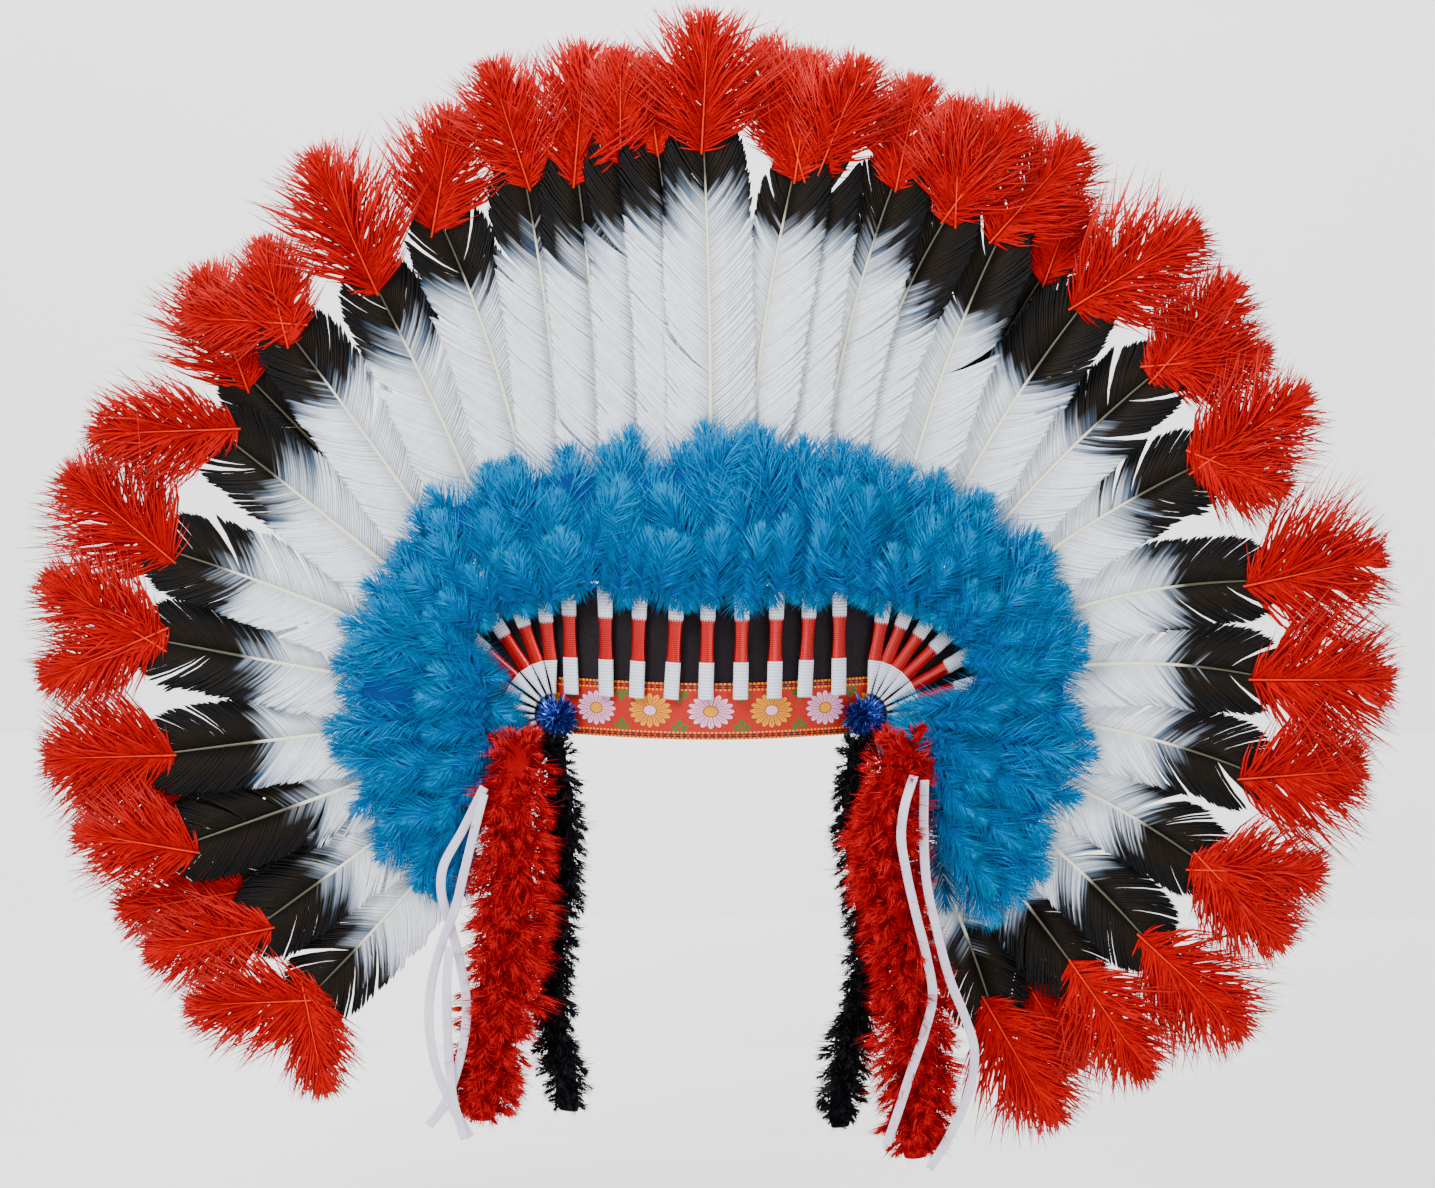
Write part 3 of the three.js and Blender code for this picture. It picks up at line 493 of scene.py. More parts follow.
def barb_colour(random, height, away, owner):
    """Colour of barb points by their height over the dark line: white, then a streaky steel blue, then black
    with a brown glow beside the shaft, which fades as a bell of the distance away from it. owner is the number
    of the barb."""
    steel = smooth_step(*STEEL_HEIGHTS, height)
    dark = smooth_step(*DARK_HEIGHTS, height)
    streak = random.uniform(0.25, 1.0, BARBS_A_SIDE)[owner]
    colour = mix(WHITE, STEEL, steel * streak)
    night = mix(BLACK, BROWN, np.exp(-((away - GLOW_AWAY) / GLOW_AWAY) ** 2))
    return colour * (1 - dark[:, None]) + night * dark[:, None]


def vane(feather):
    """One feather's barbs on both sides of its shaft, as strands wide enough to lie edge to edge."""
    random = np.random.default_rng(100 * (2 if feather["back"] else 1) + feather["number"])
    total = np.linalg.norm(feather["tip_point"] - feather["end"])
    pieces, colours = [], []
    for hand in (-1, 1):
        share = np.linspace(FIRST_BARB, LAST_BARB, BARBS_A_SIDE) + random.normal(0, 0.0010, BARBS_A_SIDE)
        point, way = shaft_at(feather, share)
        right = np.stack([way[:, 1], -way[:, 0]], axis=-1)
        slant = np.radians(ROOT_SLANT - (ROOT_SLANT - TIP_SLANT) * smooth_step(0.6, 1.0, share))
        inner = feather["side"] != 0 and abs(feather["root"]) < MIDDLE_REACH and hand * feather["side"] < 0
        full_width = VANE_HALF_WIDTH * (MIDDLE_TRIM if inner else 1)
        length = barb_lengths(share, slant, total, full_width) * random.uniform(0.97, 1.02, BARBS_A_SIDE)
        turn = (slant + np.radians(splits(random, BARBS_A_SIDE)))[:, None] + BARB_BEND
        stride = length[:, None] * np.diff(BARB_PART, prepend=0)
        along = np.cumsum(stride * np.cos(turn), axis=1)
        out = np.cumsum(stride * np.sin(turn), axis=1)
        flat = point[:, None] + way[:, None] * along[..., None] + hand * right[:, None] * out[..., None]
        curl = random.normal(0, BARB_CURL, (BARBS_A_SIDE, 1)) * BARB_PART ** 2
        camber = VANE_CAMBER * np.sin(np.pi * np.clip(out / VANE_HALF_WIDTH, 0, 1))
        front = feather["front"] + feather["side"] * VANE_TILT * hand * out + camber + curl
        paths = np.concatenate([flat, front[..., None]], axis=-1)
        tangent = unit(np.gradient(paths, axis=1))
        lift = np.broadcast_to(np.array([0.0, 0.0, 1.0]), paths.shape)
        across = unit(np.cross(tangent, lift)) + np.array([0, 0, 0.12])
        spacing = np.linalg.norm(np.gradient(point, axis=0), axis=1) * np.sin(slant)
        half = spacing[:, None] * BARB_OVERLAP
        thickness = np.full_like(half, BARB_THICKNESS)
        flat_points, faces, step, owner = strands(paths, across, lift, half, thickness)
        pieces.append((flat_points, faces + sum(len(item[0]) for item in pieces)))
        nearest = np.minimum((step * (BARB_STEPS - 1)).round().astype(int), BARB_STEPS - 1)
        away = out[owner, nearest]
        fringe = random.normal(0, FRINGE_SCATTER, BARBS_A_SIDE)
        fringe = fringe + FRINGE_WAVE * np.sin(share * 31 + feather["number"] * 2)
        drop = random.uniform(0.75, 1.35)
        height = (share - feather["dark"])[owner] * total + along[owner, nearest] * drop + fringe[owner]
        colour = barb_colour(random, height, away, owner)
        colours.append(colour * random.uniform(0.88, 1.05, BARBS_A_SIDE)[owner][:, None])
    points = np.concatenate([item[0] for item in pieces])
    return place(points), np.concatenate([item[1] for item in pieces]), np.concatenate(colours)


triangles = 0
for feather in feathers:
    points, faces, paint = vane(feather)
    triangles += len(faces)
    node = feather["node"]
    add_mesh("vane_" + node, points, faces, [vane_material], node, paint)
print("vane triangles:", triangles)

# %% [markdown]
# The shaft is a horny tube, thick and ivory in the white vane and thin and dark in the black one. A
# bevelled curve would have one width, so it is a ring profile carried along the same curve as the barbs,
# with a width that falls along it, a little flattened, and it stands just proud of the vane.

# %% Shafts
SHAFT_ROWS, SHAFT_SIDES = 32, 8
SHAFT_FOOT_HALF, SHAFT_TAPER = 1.75 * MM, 1.30 * MM
SHAFT_PROUD = 0.25 * MM
DARK_HORN = (0.050, 0.045, 0.022)


def shaft_mesh(feather):
    """A ring of points carried along the shaft; its half width falls from the bound quill to the tip."""
    share = np.linspace(0, 1, SHAFT_ROWS)
    point, way = shaft_at(feather, share)
    right = np.stack([way[:, 1], -way[:, 0]], axis=-1)
    half = SHAFT_FOOT_HALF - SHAFT_TAPER * share ** 0.8
    angle = np.linspace(0, 2 * np.pi, SHAFT_SIDES, endpoint=False)[None]
    across = half[:, None] * np.cos(angle)
    rise = 0.75 * half[:, None] * np.sin(angle) + SHAFT_PROUD
    settle = smooth_step(0.0, 0.12, share)[:, None]
    base = feather["layer"] * (1 - settle) + feather["front"] * settle
    flat = np.concatenate([point[:, None] + right[:, None] * across[..., None],
                           (base + rise)[..., None]], axis=-1)
    points, faces = tube_points(place(flat))
    along = np.append(np.repeat(share, SHAFT_SIDES), [0, 1])
    dark = smooth_step(feather["dark"] - 0.02, feather["dark"] + 0.05, along)
    paint = mix(IVORY, DARK_HORN, dark)
    return points, faces, paint


triangles = 0
for feather in feathers:
    points, faces, paint = shaft_mesh(feather)
    triangles += len(faces)
    node = feather["node"]
    add_mesh("shaft_" + node, points, faces, [quill_material], node, paint)
print("shaft triangles:", triangles)

# %% [markdown]
# Each quill is bound with white cloth at both ends and with red satin thread in its waisted middle. Thread
# is far too fine to model turn by turn, so its turns are a wave bump on the piece's own UV map. The cloth
# has its folds from the same wave, coarser, and both take a darker colour in the hollows as painted shade
# and a lighter one on the ridges as painted light. The thread has a clear coat and an anisotropic gloss,
# because satin thread throws a bright line along the wrap.

# %% Binding materials
def wave_bump(material, shader, repeats, strength, distance):
    """Fine ridges across the length: a sine wave of the UV map's first coordinate drives a bump."""
    nodes, links = material.node_tree.nodes, material.node_tree.links
    uv = nodes.new("ShaderNodeUVMap")
    uv.uv_map = "UVMap"
    wave = nodes.new("ShaderNodeTexWave")
    wave.inputs["Scale"].default_value = repeats
    wave.inputs["Distortion"].default_value = 0.6
    wave.inputs["Detail"].default_value = 1.5
    bump = nodes.new("ShaderNodeBump")
    bump.inputs["Strength"].default_value = strength
    bump.inputs["Distance"].default_value = distance
    links.new(uv.outputs["UV"], wave.inputs["Vector"])
    links.new(wave.outputs["Fac"], bump.inputs["Height"])
    links.new(bump.outputs["Normal"], shader.inputs["Normal"])
    return wave


def two_tone(material, shader, factor, first, second):
    """Base colour between two colours by a factor socket."""
    nodes, links = material.node_tree.nodes, material.node_tree.links
    blend = nodes.new("ShaderNodeMix")
    blend.data_type = "RGBA"
    blend.inputs["A"].default_value = (*first, 1)
    blend.inputs["B"].default_value = (*second, 1)
    links.new(factor, blend.inputs["Factor"])
    links.new(blend.outputs["Result"], shader.inputs["Base Color"])


# Painted shade and painted light: the wave's hollows take the darker colour and its ridges the lighter one.
CLOTH_SHADE, CLOTH_LIGHT = (0.56, 0.59, 0.74), (0.88, 0.90, 0.98)
THREAD_SHADE, THREAD_LIGHT = (0.26, 0.0, 0.002), (0.66, 0.004, 0.004)
cloth_material, cloth_shader = new_material("binding cloth", roughness=0.85, specular=0.15, sheen=0.05)
cloth_wave = wave_bump(cloth_material, cloth_shader, repeats=5.5, strength=0.8, distance=0.35 * MM)
two_tone(cloth_material, cloth_shader, cloth_wave.outputs["Fac"], CLOTH_SHADE, CLOTH_LIGHT)
thread_material, thread_shader = new_material("red satin thread", roughness=0.3, specular=0.2, metallic=0.5)
thread_shader.inputs["Coat Weight"].default_value = 0.4
thread_shader.inputs["Coat Roughness"].default_value = 0.2
thread_shader.inputs["Anisotropic"].default_value = 0.6
thread_wave = wave_bump(thread_material, thread_shader, repeats=9, strength=0.5, distance=0.15 * MM)
two_tone(thread_material, thread_shader, thread_wave.outputs["Fac"], THREAD_SHADE, THREAD_LIGHT)
print("binding materials:", cloth_material.name, "and", thread_material.name)

# %% [markdown]
# The binding itself is a rounded profile carried along the quill's foot: waisted where the thread pulls it
# in, and flared at the cloth's outer edge. Beside the rosettes the bindings meet like the sticks of a fan,
# so their inner ends narrow to a pleat. One mesh has both materials, because the thread lies on the same
# cloth.

# %% Bound quills
CLOTH_SHARE = 0.34
THREAD_SHARE = 0.72
BINDING_ROWS, BINDING_SIDES = 31, 16
SKIN = 0.97
PLEAT_RUN = 26 * MM
WAIST, FLARE = 0.13, 0.10


def binding(feather):
    """An oval section with blunt faces, whose half widths follow the binding: cloth at both ends, the outer
    one flared, and a middle drawn in by a sine. Returns points, faces, UV and which faces are thread."""
    share = np.linspace(0, 1, BINDING_ROWS)
    length = np.linalg.norm(feather["end"] - feather["start"])
    in_thread = np.clip((share - CLOTH_SHARE) / (THREAD_SHARE - CLOTH_SHARE), 0, 1)
    waist = 1 - WAIST * np.sin(np.pi * in_thread) ** 0.7
    flare = 1 + FLARE * smooth_step(0.78, 0.97, share) - FLARE / 2 * smooth_step(0.97, 1.0, share)
    half = WRAP_HALF_WIDTH * waist * flare * SKIN
    if feather["beside"]:
        full = smooth_step(0, 1, np.clip(share * length / PLEAT_RUN, 0, 1) ** 0.9)
        half = np.minimum(half, WRAP_PLEAT + (WRAP_HALF_WIDTH - WRAP_PLEAT) * full * 1.02)
    angle = np.linspace(0, 2 * np.pi, BINDING_SIDES, endpoint=False)[None]
    point = feather["start"] + feather["way"] * (share * length)[:, None]
    right = np.array([feather["way"][1], -feather["way"][0]])
    thick = WRAP_HALF_THICKNESS * SKIN * waist
    across = half[:, None] * np.cos(angle)
    rise = thick[:, None] * np.sign(np.sin(angle)) * np.abs(np.sin(angle)) ** 0.85
    flat = np.concatenate([point[:, None] + right * across[..., None],
                           (feather["layer"] + rise)[..., None]], axis=-1)
    points, faces = tube_points(place(flat))
    round_share = np.tile(angle[0], BINDING_ROWS) / (2 * np.pi)
    uv = np.stack([np.repeat(share, BINDING_SIDES) * 2, round_share], axis=-1)
    uv = np.concatenate([uv, [[0, 0], [2, 0]]])
    middle = uv[faces].mean(axis=1)[:, 0] / 2
    red = (middle > CLOTH_SHARE) & (middle < THREAD_SHARE)
    return points, faces, uv, red


bound = [feather for feather in feathers if not feather["back"]]
for feather in bound:
    points, faces, uv, red = binding(feather)
    node = feather["node"]
    add_mesh("binding_" + node, points, faces, [cloth_material, thread_material], node,
             uv=uv, face_material=red)
print("bound quills:", len(bound))

# %% [markdown]
# The red plumes sit on the tips. Each has a bright soft shaft and a wide leaf of down, red at heart, with
# painted shade that darkens the strands' roots and painted light that turns them pink where they thin out
# and the white backdrop shows through. A plume is one large tuft, and its foot reaches down over the
# feather's dark end, as glued down does. Every second one leans a little to the front, so that neighbours
# lie over each other. A row gives its feather, its own lean in degrees, and its length and width as shares
# of a full plume.

# %% Red plumes
PLUME_LENGTH = 62 * MM
PLUME_WIDTH = 50 * MM
PLUME_LIFT = 9.6 * MM
PLUME_STRANDS = 400
PLUME_FOOT = 14 * MM
PLUME_FULLNESS = 2.1
PLUME_STRAND_HALF = 0.80 * MM
PLUME_SEAT = 1.0 * MM
PLUME_TILT = 0.8
PLUME_SHAFT_STEPS = 6
PLUME_SHAFT_SHARE = 0.86
PLUME_SHAFT_LIFT = 1.8 * MM
PLUME_SHAFT_HALF = (0.65 * MM, 0.22 * MM)
RED = (0.50, 0.0, 0.003)
# The darker red is painted shade for the strands' roots, and the pink is painted light where the thin tips let
# the white backdrop through.
RED_ROOT_SHADE = (0.28, 0.0, 0.002)
PINK_TIP_LIGHT = (0.86, 0.11, 0.09)
ORANGE_RED = (0.80, 0.03, 0.004)
PLUME_COLUMNS = ("feather", "back", "lean", "length", "width")
PLUME_ROWS = (
    (1, False, -92, 1.05, 0.70), (1, False, 168, 0.85, 0.50), (2, False, -102, 0.95, 0.65),
    (3, False, -80, 0.88, 0.75), (4, False, -92, 0.95, 1.00), (5, False, -113, 1.00, 0.62),
    (5, False, -58, 1.05, 0.70), (6, False, -50, 1.05, 1.00), (7, False, -92, 1.10, 0.72),
    (8, False, -86, 0.88, 0.48), (8, False, -14, 0.75, 0.60), (9, False, -24, 1.15, 1.00),
    (10, False, 10, 0.92, 0.78), (11, False, -18, 0.95, 0.75), (12, False, 5, 1.02, 0.85),
    (13, False, 0, 0.80, 0.50), (14, False, -8, 0.65, 0.40), (15, False, 3, 1.00, 1.05),
    (16, False, 8, 0.92, 0.80), (16, False, -16, 1.05, 0.60), (17, False, 22, 0.88, 0.75),
    (18, False, 12, 0.80, 0.65), (19, False, 2, 0.90, 0.65), (19, False, 36, 1.00, 0.70),
    (20, False, 42, 0.98, 0.82), (21, False, 58, 1.15, 0.95), (22, False, 42, 0.98, 0.65),
    (22, False, 85, 0.92, 0.65), (23, False, 55, 1.05, 0.82), (23, False, 112, 0.75, 0.60),
    (24, False, 78, 1.05, 1.10), (25, False, 90, 1.05, 1.10), (26, False, 86, 0.92, 1.05),
    (27, False, 91, 1.00, 0.70), (27, False, 136, 0.95, 0.68), (28, False, 133, 1.12, 0.82),
    (29, False, 145, 1.05, 0.78), (30, False, 150, 1.12, 0.78), (1, True, -100, 0.95, 0.75),
    (2, True, -85, 0.75, 0.60), (3, True, -20, 0.95, 0.95), (4, True, 20, 0.65, 0.60),
    (5, True, 150, 0.70, 0.55),
)
plumes = [dict(zip(PLUME_COLUMNS, row)) for row in PLUME_ROWS]


def plume_mesh(plume, feather, seed):
    """Strands in a fan round the plume's shaft, and the shaft as one more thick strand. A lifted plume tilts
    to the front by a share of its lift over its length."""
    way = np.append(heading(plume["lean"]), 0.0)
    side = np.array([way[1], -way[0], 0.0])
    lifted = not plume["back"] and plume["feather"] % 2 == 1
    lift = PLUME_LIFT if lifted else 0.0
    length = plume["length"] * PLUME_LENGTH + PLUME_FOOT
    width = plume["width"] * PLUME_WIDTH * PLUME_FULLNESS
    tilted = unit(way + np.array([0, 0, PLUME_TILT * lift / length]))
    root = np.append(feather["tip_point"] - way[:2] * PLUME_FOOT, feather["front"] + PLUME_SEAT)
    flat, faces, along, owner, share, chance = tufts(
        root[None], tilted[None], side[None], np.array([length]), np.array([width]), PLUME_STRANDS, seed,
        half_width=PLUME_STRAND_HALF, dome=0.09, wave=0.10, steps=3, fullest=0.58, foot=0.35, slants=(62, 20),
        reaches=(0.62, 1.08), shares=(0.02, 0.92))
    # Painted light turns the thin tips pink, and painted shade darkens the roots.
    thin_tip_light = smooth_step(0.45, 1.0, along) * (0.15 + 0.85 * chance[owner])
    root_shade = smooth_step(0.1, 0.8, 1 - along) * chance[owner] * 0.5
    paint = mix(RED, PINK_TIP_LIGHT, thin_tip_light * 0.55)
    paint = paint * (1 - root_shade[:, None]) + np.array(RED_ROOT_SHADE) * root_shade[:, None]
    paint = paint * strand_shade(chance[owner], 0.78, 1.16)
    part = np.linspace(0, 1, PLUME_SHAFT_STEPS)[None, :, None]
    path = root + tilted * part * length * PLUME_SHAFT_SHARE + np.array([0, 0, PLUME_SHAFT_LIFT])
    across = np.broadcast_to(side, path.shape)
    lift_way = np.broadcast_to(np.array([0.0, 0.0, 1.0]), path.shape)
    half = np.linspace(*PLUME_SHAFT_HALF, PLUME_SHAFT_STEPS)[None]
    shaft_flat, shaft_faces, _, _ = strands(path, across, lift_way, half, half)
    points = np.concatenate([flat, shaft_flat])
    colours = np.concatenate([paint, np.broadcast_to(ORANGE_RED, shaft_flat.shape)])
    return place(points), np.concatenate([faces, shaft_faces + len(flat)]), colours


by_place = {(feather["back"], feather["number"]): feather for feather in feathers}
triangles = 0
for index, plume in enumerate(plumes):
    feather = by_place[plume["back"], plume["feather"]]
    node = feather["node"]
    points, faces, paint = plume_mesh(plume, feather, 500 + index)
    triangles += len(faces)
    add_mesh(f"plume_{index + 1:02d}", points, faces, [down_material], node, paint)
print("plume triangles:", triangles)

# %% [markdown]
# The blue ring is a bank of marabou down that hides the vanes' roots. It has three parts: one beside each
# rosette and one over the brow. A row beside a rosette gives a lean in degrees and the inner and outer edge
# as shares of the ring's reach. A row over the brow gives a place across it and the outer edge as a share
# of the crown. All the ring's shapes are worked out between these edges, so the core and the tufts follow
# one outline.

# %% Ring sections
RING_REACH = 124 * MM
RING_CROWN = 160 * MM
RING_THICKNESS = 18 * MM
RING_BACK = BROW_LAYER + 5.3 * MM
RING_LEFT = (
    (-150, 0.79, 0.97), (-142, 0.62, 1.00), (-133, 0.50, 1.00), (-122, 0.41, 1.01), (-110, 0.34, 1.01),
    (-98, 0.33, 0.99), (-86, 0.32, 0.99), (-74, 0.32, 1.00), (-62, 0.38, 1.01), (-50, 0.55, 1.02),
    (-39, 0.55, 1.07), (-29, 0.55, 1.12),
)
RING_RIGHT = (
    (29, 0.55, 1.10), (40, 0.56, 1.08), (51, 0.56, 1.06), (62, 0.55, 1.06), (74, 0.53, 1.05),
    (86, 0.37, 1.00), (98, 0.33, 0.98), (110, 0.34, 1.01), (121, 0.38, 1.04), (131, 0.43, 1.07),
    (141, 0.53, 1.10), (150, 0.66, 1.10),
)
RING_BROW = (
    (-0.90, 0.98), (-0.72, 0.97), (-0.54, 1.00), (-0.36, 0.99), (-0.18, 1.02), (0.00, 1.06),
    (0.18, 1.04), (0.36, 1.06), (0.54, 1.03), (0.72, 1.02), (0.90, 0.99),
)


def beside_rosette(rows, side):
    """Inner and outer points of the ring at leans round a rosette."""
    lean, inner, outer = np.array(rows, dtype=float).T
    pivot = np.array([side * PIVOT_HALF_SPAN, PIVOT_HEIGHT])
    way = heading(lean)
    return pivot + way * (inner * RING_REACH)[:, None], pivot + way * (outer * RING_REACH)[:, None]


def over_brow():
    """Inner and outer points of the ring over the brow, with the neighbouring sections at both ends."""
    across, outer = np.array(RING_BROW).T
    x = across * PIVOT_HALF_SPAN
    inner_points = np.stack([x, np.full_like(x, WRAP_BOTTOM + WRAP_LENGTH + SEAT_GAP)], axis=-1)
    outer_points = np.stack([x, outer * RING_CROWN], axis=-1)
    left, right = beside_rosette(RING_LEFT[-1:], -1), beside_rosette(RING_RIGHT[:1], 1)
    inner_edge = np.concatenate([left[0], inner_points, right[0]])
    return inner_edge, np.concatenate([left[1], outer_points, right[1]])


RING_PARTS = {
    "blue_ring_left": beside_rosette(RING_LEFT, -1),
    "blue_ring_crown": over_brow(),
    "blue_ring_right": beside_rosette(RING_RIGHT, 1),
}


def along_sections(sections, share):
    """Inner and outer points between the rows of a table, at shares of its length."""
    inner, outer = sections
    steps = np.append(0, np.cumsum(np.linalg.norm(np.diff((inner + outer) / 2, axis=0), axis=1)))
    at = share * steps[-1]
    between = [np.interp(at, steps, edge[:, axis]) for edge in (inner, outer) for axis in (0, 1)]
    return np.stack(between[:2], axis=-1), np.stack(between[2:], axis=-1)


print("sections of the ring's parts:", [len(inner) for inner, outer in RING_PARTS.values()])

# %% [markdown]
# Marabou is sold as a string of tufts, and laid down it covers itself like tiles. So tufts stand in rows.
# The first four rows grow outwards and lie over each other, the fifth hangs inwards over the bound quills,
# and longer where the ring runs down beside the rosettes, and the sixth lies flat behind, so that the back
# is down too. Under them an opaque core keeps the white vanes from showing through, and it is darker than
# the down, as painted shade inside the bank. The strands carry painted shade at their roots and a painted
# cyan highlight at their outer tips. A row gives where its tufts start as a share of the ring's depth,
# their layer as a share of its thickness, their reach as a share of its depth (below zero is inwards), the
# tufts' width, how many strands and steps they have, their slope to the front and their pitch.

# %% Ring core and down
# The darkest blue is painted shade, the cyan a painted highlight, and the middle blue the down's own colour.
CYAN_HIGHLIGHT = (0.0, 0.36, 0.66)
BLUE = (0.0, 0.19, 0.50)
BLUE_SHADE = (0.0, 0.055, 0.24)
LOW_HANG = 0.55
RING_COLUMNS = ("from_share", "level", "reach", "width", "strands", "slope", "steps", "pitch")
RING_ROWS = (
    (0.46, 0.30, 0.56, 38 * MM, 150, 0.00, 3, 15 * MM),
    (0.26, 0.55, 0.68, 38 * MM, 150, -0.03, 3, 15 * MM),
    (0.12, 0.72, 0.60, 34 * MM, 250, -0.02, 2, 15 * MM),
    (-0.04, 0.80, 0.46, 28 * MM, 170, 0.04, 2, 10.5 * MM),
    (0.22, 0.92, -0.38, 26 * MM, 120, -0.42, 2, 8 * MM),
    (0.02, 0.04, 0.80, 40 * MM, 72, 0.00, 2, 13 * MM),
)
RING_CORE_ROWS, RING_CORE_SIDES = 90, 18
RING_STRAND_HALF = 0.46 * MM
RING_TURN = 13
LOW_HANG_HEIGHTS = (40 * MM, 5 * MM)


def ring_core(sections):
    """A bank with a rounded section, drawn in from the ring's outline, and lumps that follow three sines."""
    share = np.linspace(0.01, 0.99, RING_CORE_ROWS)
    inner, outer = along_sections(sections, share)
    angle = np.linspace(0, 2 * np.pi, RING_CORE_SIDES, endpoint=False)[None]
    fine_lump = 0.06 * np.sin(share * 60)[:, None] * np.sin(angle * 3)
    lump = 1 + fine_lump + 0.05 * np.sin(share * 37 + 1)[:, None]
    across = 0.40 + 0.385 * np.cos(angle) * lump
    rise = RING_BACK + RING_THICKNESS * (0.34 + 0.26 * np.sin(angle) * lump)
    flat = inner[:, None] + (outer - inner)[:, None] * across[..., None]
    return tube_points(place(np.concatenate([flat, rise[..., None]], axis=-1)))


def ring_down(sections, seed):
    """Tufts of all rows. A tuft starts at inner + out * from_share, turned by a chance angle of some degrees,
    and its strands have painted shade in blue at the root and a painted cyan highlight towards the tips."""
    random = np.random.default_rng(seed)
    middle_line = (sections[0] + sections[1]) / 2
    run = np.linalg.norm(np.diff(middle_line, axis=0), axis=1).sum()
    pieces, colours = [], []
    for number, values in enumerate(RING_ROWS):
        row = dict(zip(RING_COLUMNS, values))
        count = int(run / row["pitch"])
        place_number = np.arange(count) + 0.5 + random.uniform(-0.3, 0.3, count) + 0.4 * (number % 2)
        share = place_number / (count + 0.4)
        inner, outer = along_sections(sections, share)
        out = outer - inner
        depth = np.linalg.norm(out, axis=1)
        turn = np.radians(random.normal(0, RING_TURN, count))
        way = unit(out) * np.sign(row["reach"])
        way = np.stack([way[:, 0] * np.cos(turn) - way[:, 1] * np.sin(turn),
                        way[:, 0] * np.sin(turn) + way[:, 1] * np.cos(turn)], axis=-1)
        at = inner + out * (row["from_share"] + random.normal(0, 0.02, count))[:, None]
        level = RING_BACK + RING_THICKNESS * (row["level"] + random.normal(0, 0.05, count))
        slope = row["slope"] + random.normal(0, 0.05, count)
        root = np.concatenate([at, level[:, None]], axis=-1)
        axis_way = unit(np.concatenate([way, slope[:, None]], axis=-1))
        side = unit(np.stack([way[:, 1], -way[:, 0], random.normal(0, 0.12, count)], axis=-1))
        length = depth * abs(row["reach"]) * random.uniform(0.90, 1.08, count)
        if row["reach"] < 0:
            length = length * (1 + LOW_HANG * smooth_step(*LOW_HANG_HEIGHTS, at[:, 1]))
        width = row["width"] * random.uniform(0.85, 1.15, count)
        flat, faces, along, owner, place_share, chance = tufts(
            root, axis_way, side, length, width, row["strands"], seed + number + 1,
            half_width=RING_STRAND_HALF, dome=0.13, wave=0.10, steps=row["steps"], fullest=0.62, foot=0.5,
            slants=(62, 16), spread=11)
        hue = random.random(count)[owner // row["strands"]]
        depth_share = place_share[owner] * 0.55 + along * 0.6
        # Painted shade: the darker blue lies towards the roots; painted highlight: cyan towards the outer tips,
        # more on some tufts than others.
        paint = mix(BLUE_SHADE, BLUE, smooth_step(-0.1, 0.55, depth_share + 0.3 * chance[owner] - 0.15))
        tip_highlight = smooth_step(0.45, 1.15, depth_share) * (0.35 + 0.65 * hue)
        paint = paint * (1 - tip_highlight[:, None]) + np.array(CYAN_HIGHLIGHT) * tip_highlight[:, None]
        colours.append(paint * strand_shade(chance[owner], 0.74, 1.16))
        pieces.append((flat, faces + sum(len(item[0]) for item in pieces)))
    points = np.concatenate([item[0] for item in pieces])
    return place(points), np.concatenate([item[1] for item in pieces]), np.concatenate(colours)


triangles = 0
for index, (node, sections) in enumerate(RING_PARTS.items()):
    points, faces = ring_core(sections)
    # The core takes a darker blue than the down: painted shade inside the bank.
    core_shade_paint = np.tile(BLUE_SHADE, (len(points), 1)) * 0.7
    add_mesh(node + "_core", points, faces, [down_material], node, core_shade_paint)
    points, faces, paint = ring_down(sections, 900 + index * 10)
    triangles += len(faces)
    add_mesh(node + "_down", points, faces, [down_material], node, paint)
print("ring triangles:", triangles)

# %% [markdown]
# The boas hang from the band's ends. A boa is a cord with down on all sides, so its tufts stand round a
# core and droop, and those at its top stand up against the rosette. The golden angle spreads them round the
# cord with no rows to be seen. Rows of a table give the drop below the rosette, the middle's distance from
# the brow's centre and the half width, all as shares of the boa's length.

# %% Boas
BOA_LENGTH = 217 * MM
ROSETTE_RADIUS = 11.4 * MM
RED_BOA_LEFT = (
    (0.000, 0.475, 0.055), (0.060, 0.480, 0.078), (0.150, 0.488, 0.088), (0.270, 0.482, 0.098),
    (0.390, 0.492, 0.100), (0.510, 0.502, 0.102), (0.630, 0.518, 0.098), (0.750, 0.540, 0.092),
    (0.880, 0.562, 0.090), (0.985, 0.574, 0.044),
)
RED_BOA_RIGHT = (
    (0.000, 0.470, 0.055), (0.060, 0.462, 0.084), (0.150, 0.432, 0.090), (0.280, 0.428, 0.094),
    (0.420, 0.462, 0.088), (0.560, 0.490, 0.094), (0.700, 0.502, 0.098), (0.840, 0.512, 0.100),
    (0.980, 0.514, 0.086), (1.080, 0.505, 0.040),
)
BLACK_BOA_LEFT = (
    (0.000, 0.386, 0.040), (0.120, 0.372, 0.058), (0.270, 0.366, 0.062), (0.420, 0.378, 0.058),
    (0.560, 0.392, 0.056), (0.700, 0.392, 0.054), (0.840, 0.362, 0.062), (0.960, 0.350, 0.040),
)
BLACK_BOA_RIGHT = (
    (0.000, 0.364, 0.040), (0.120, 0.352, 0.058), (0.270, 0.362, 0.060), (0.420, 0.384, 0.058),
    (0.560, 0.388, 0.058), (0.720, 0.352, 0.064), (0.880, 0.322, 0.062), (1.000, 0.320, 0.038),
)
BLACK_DOWN = (0.005, 0.005, 0.007)
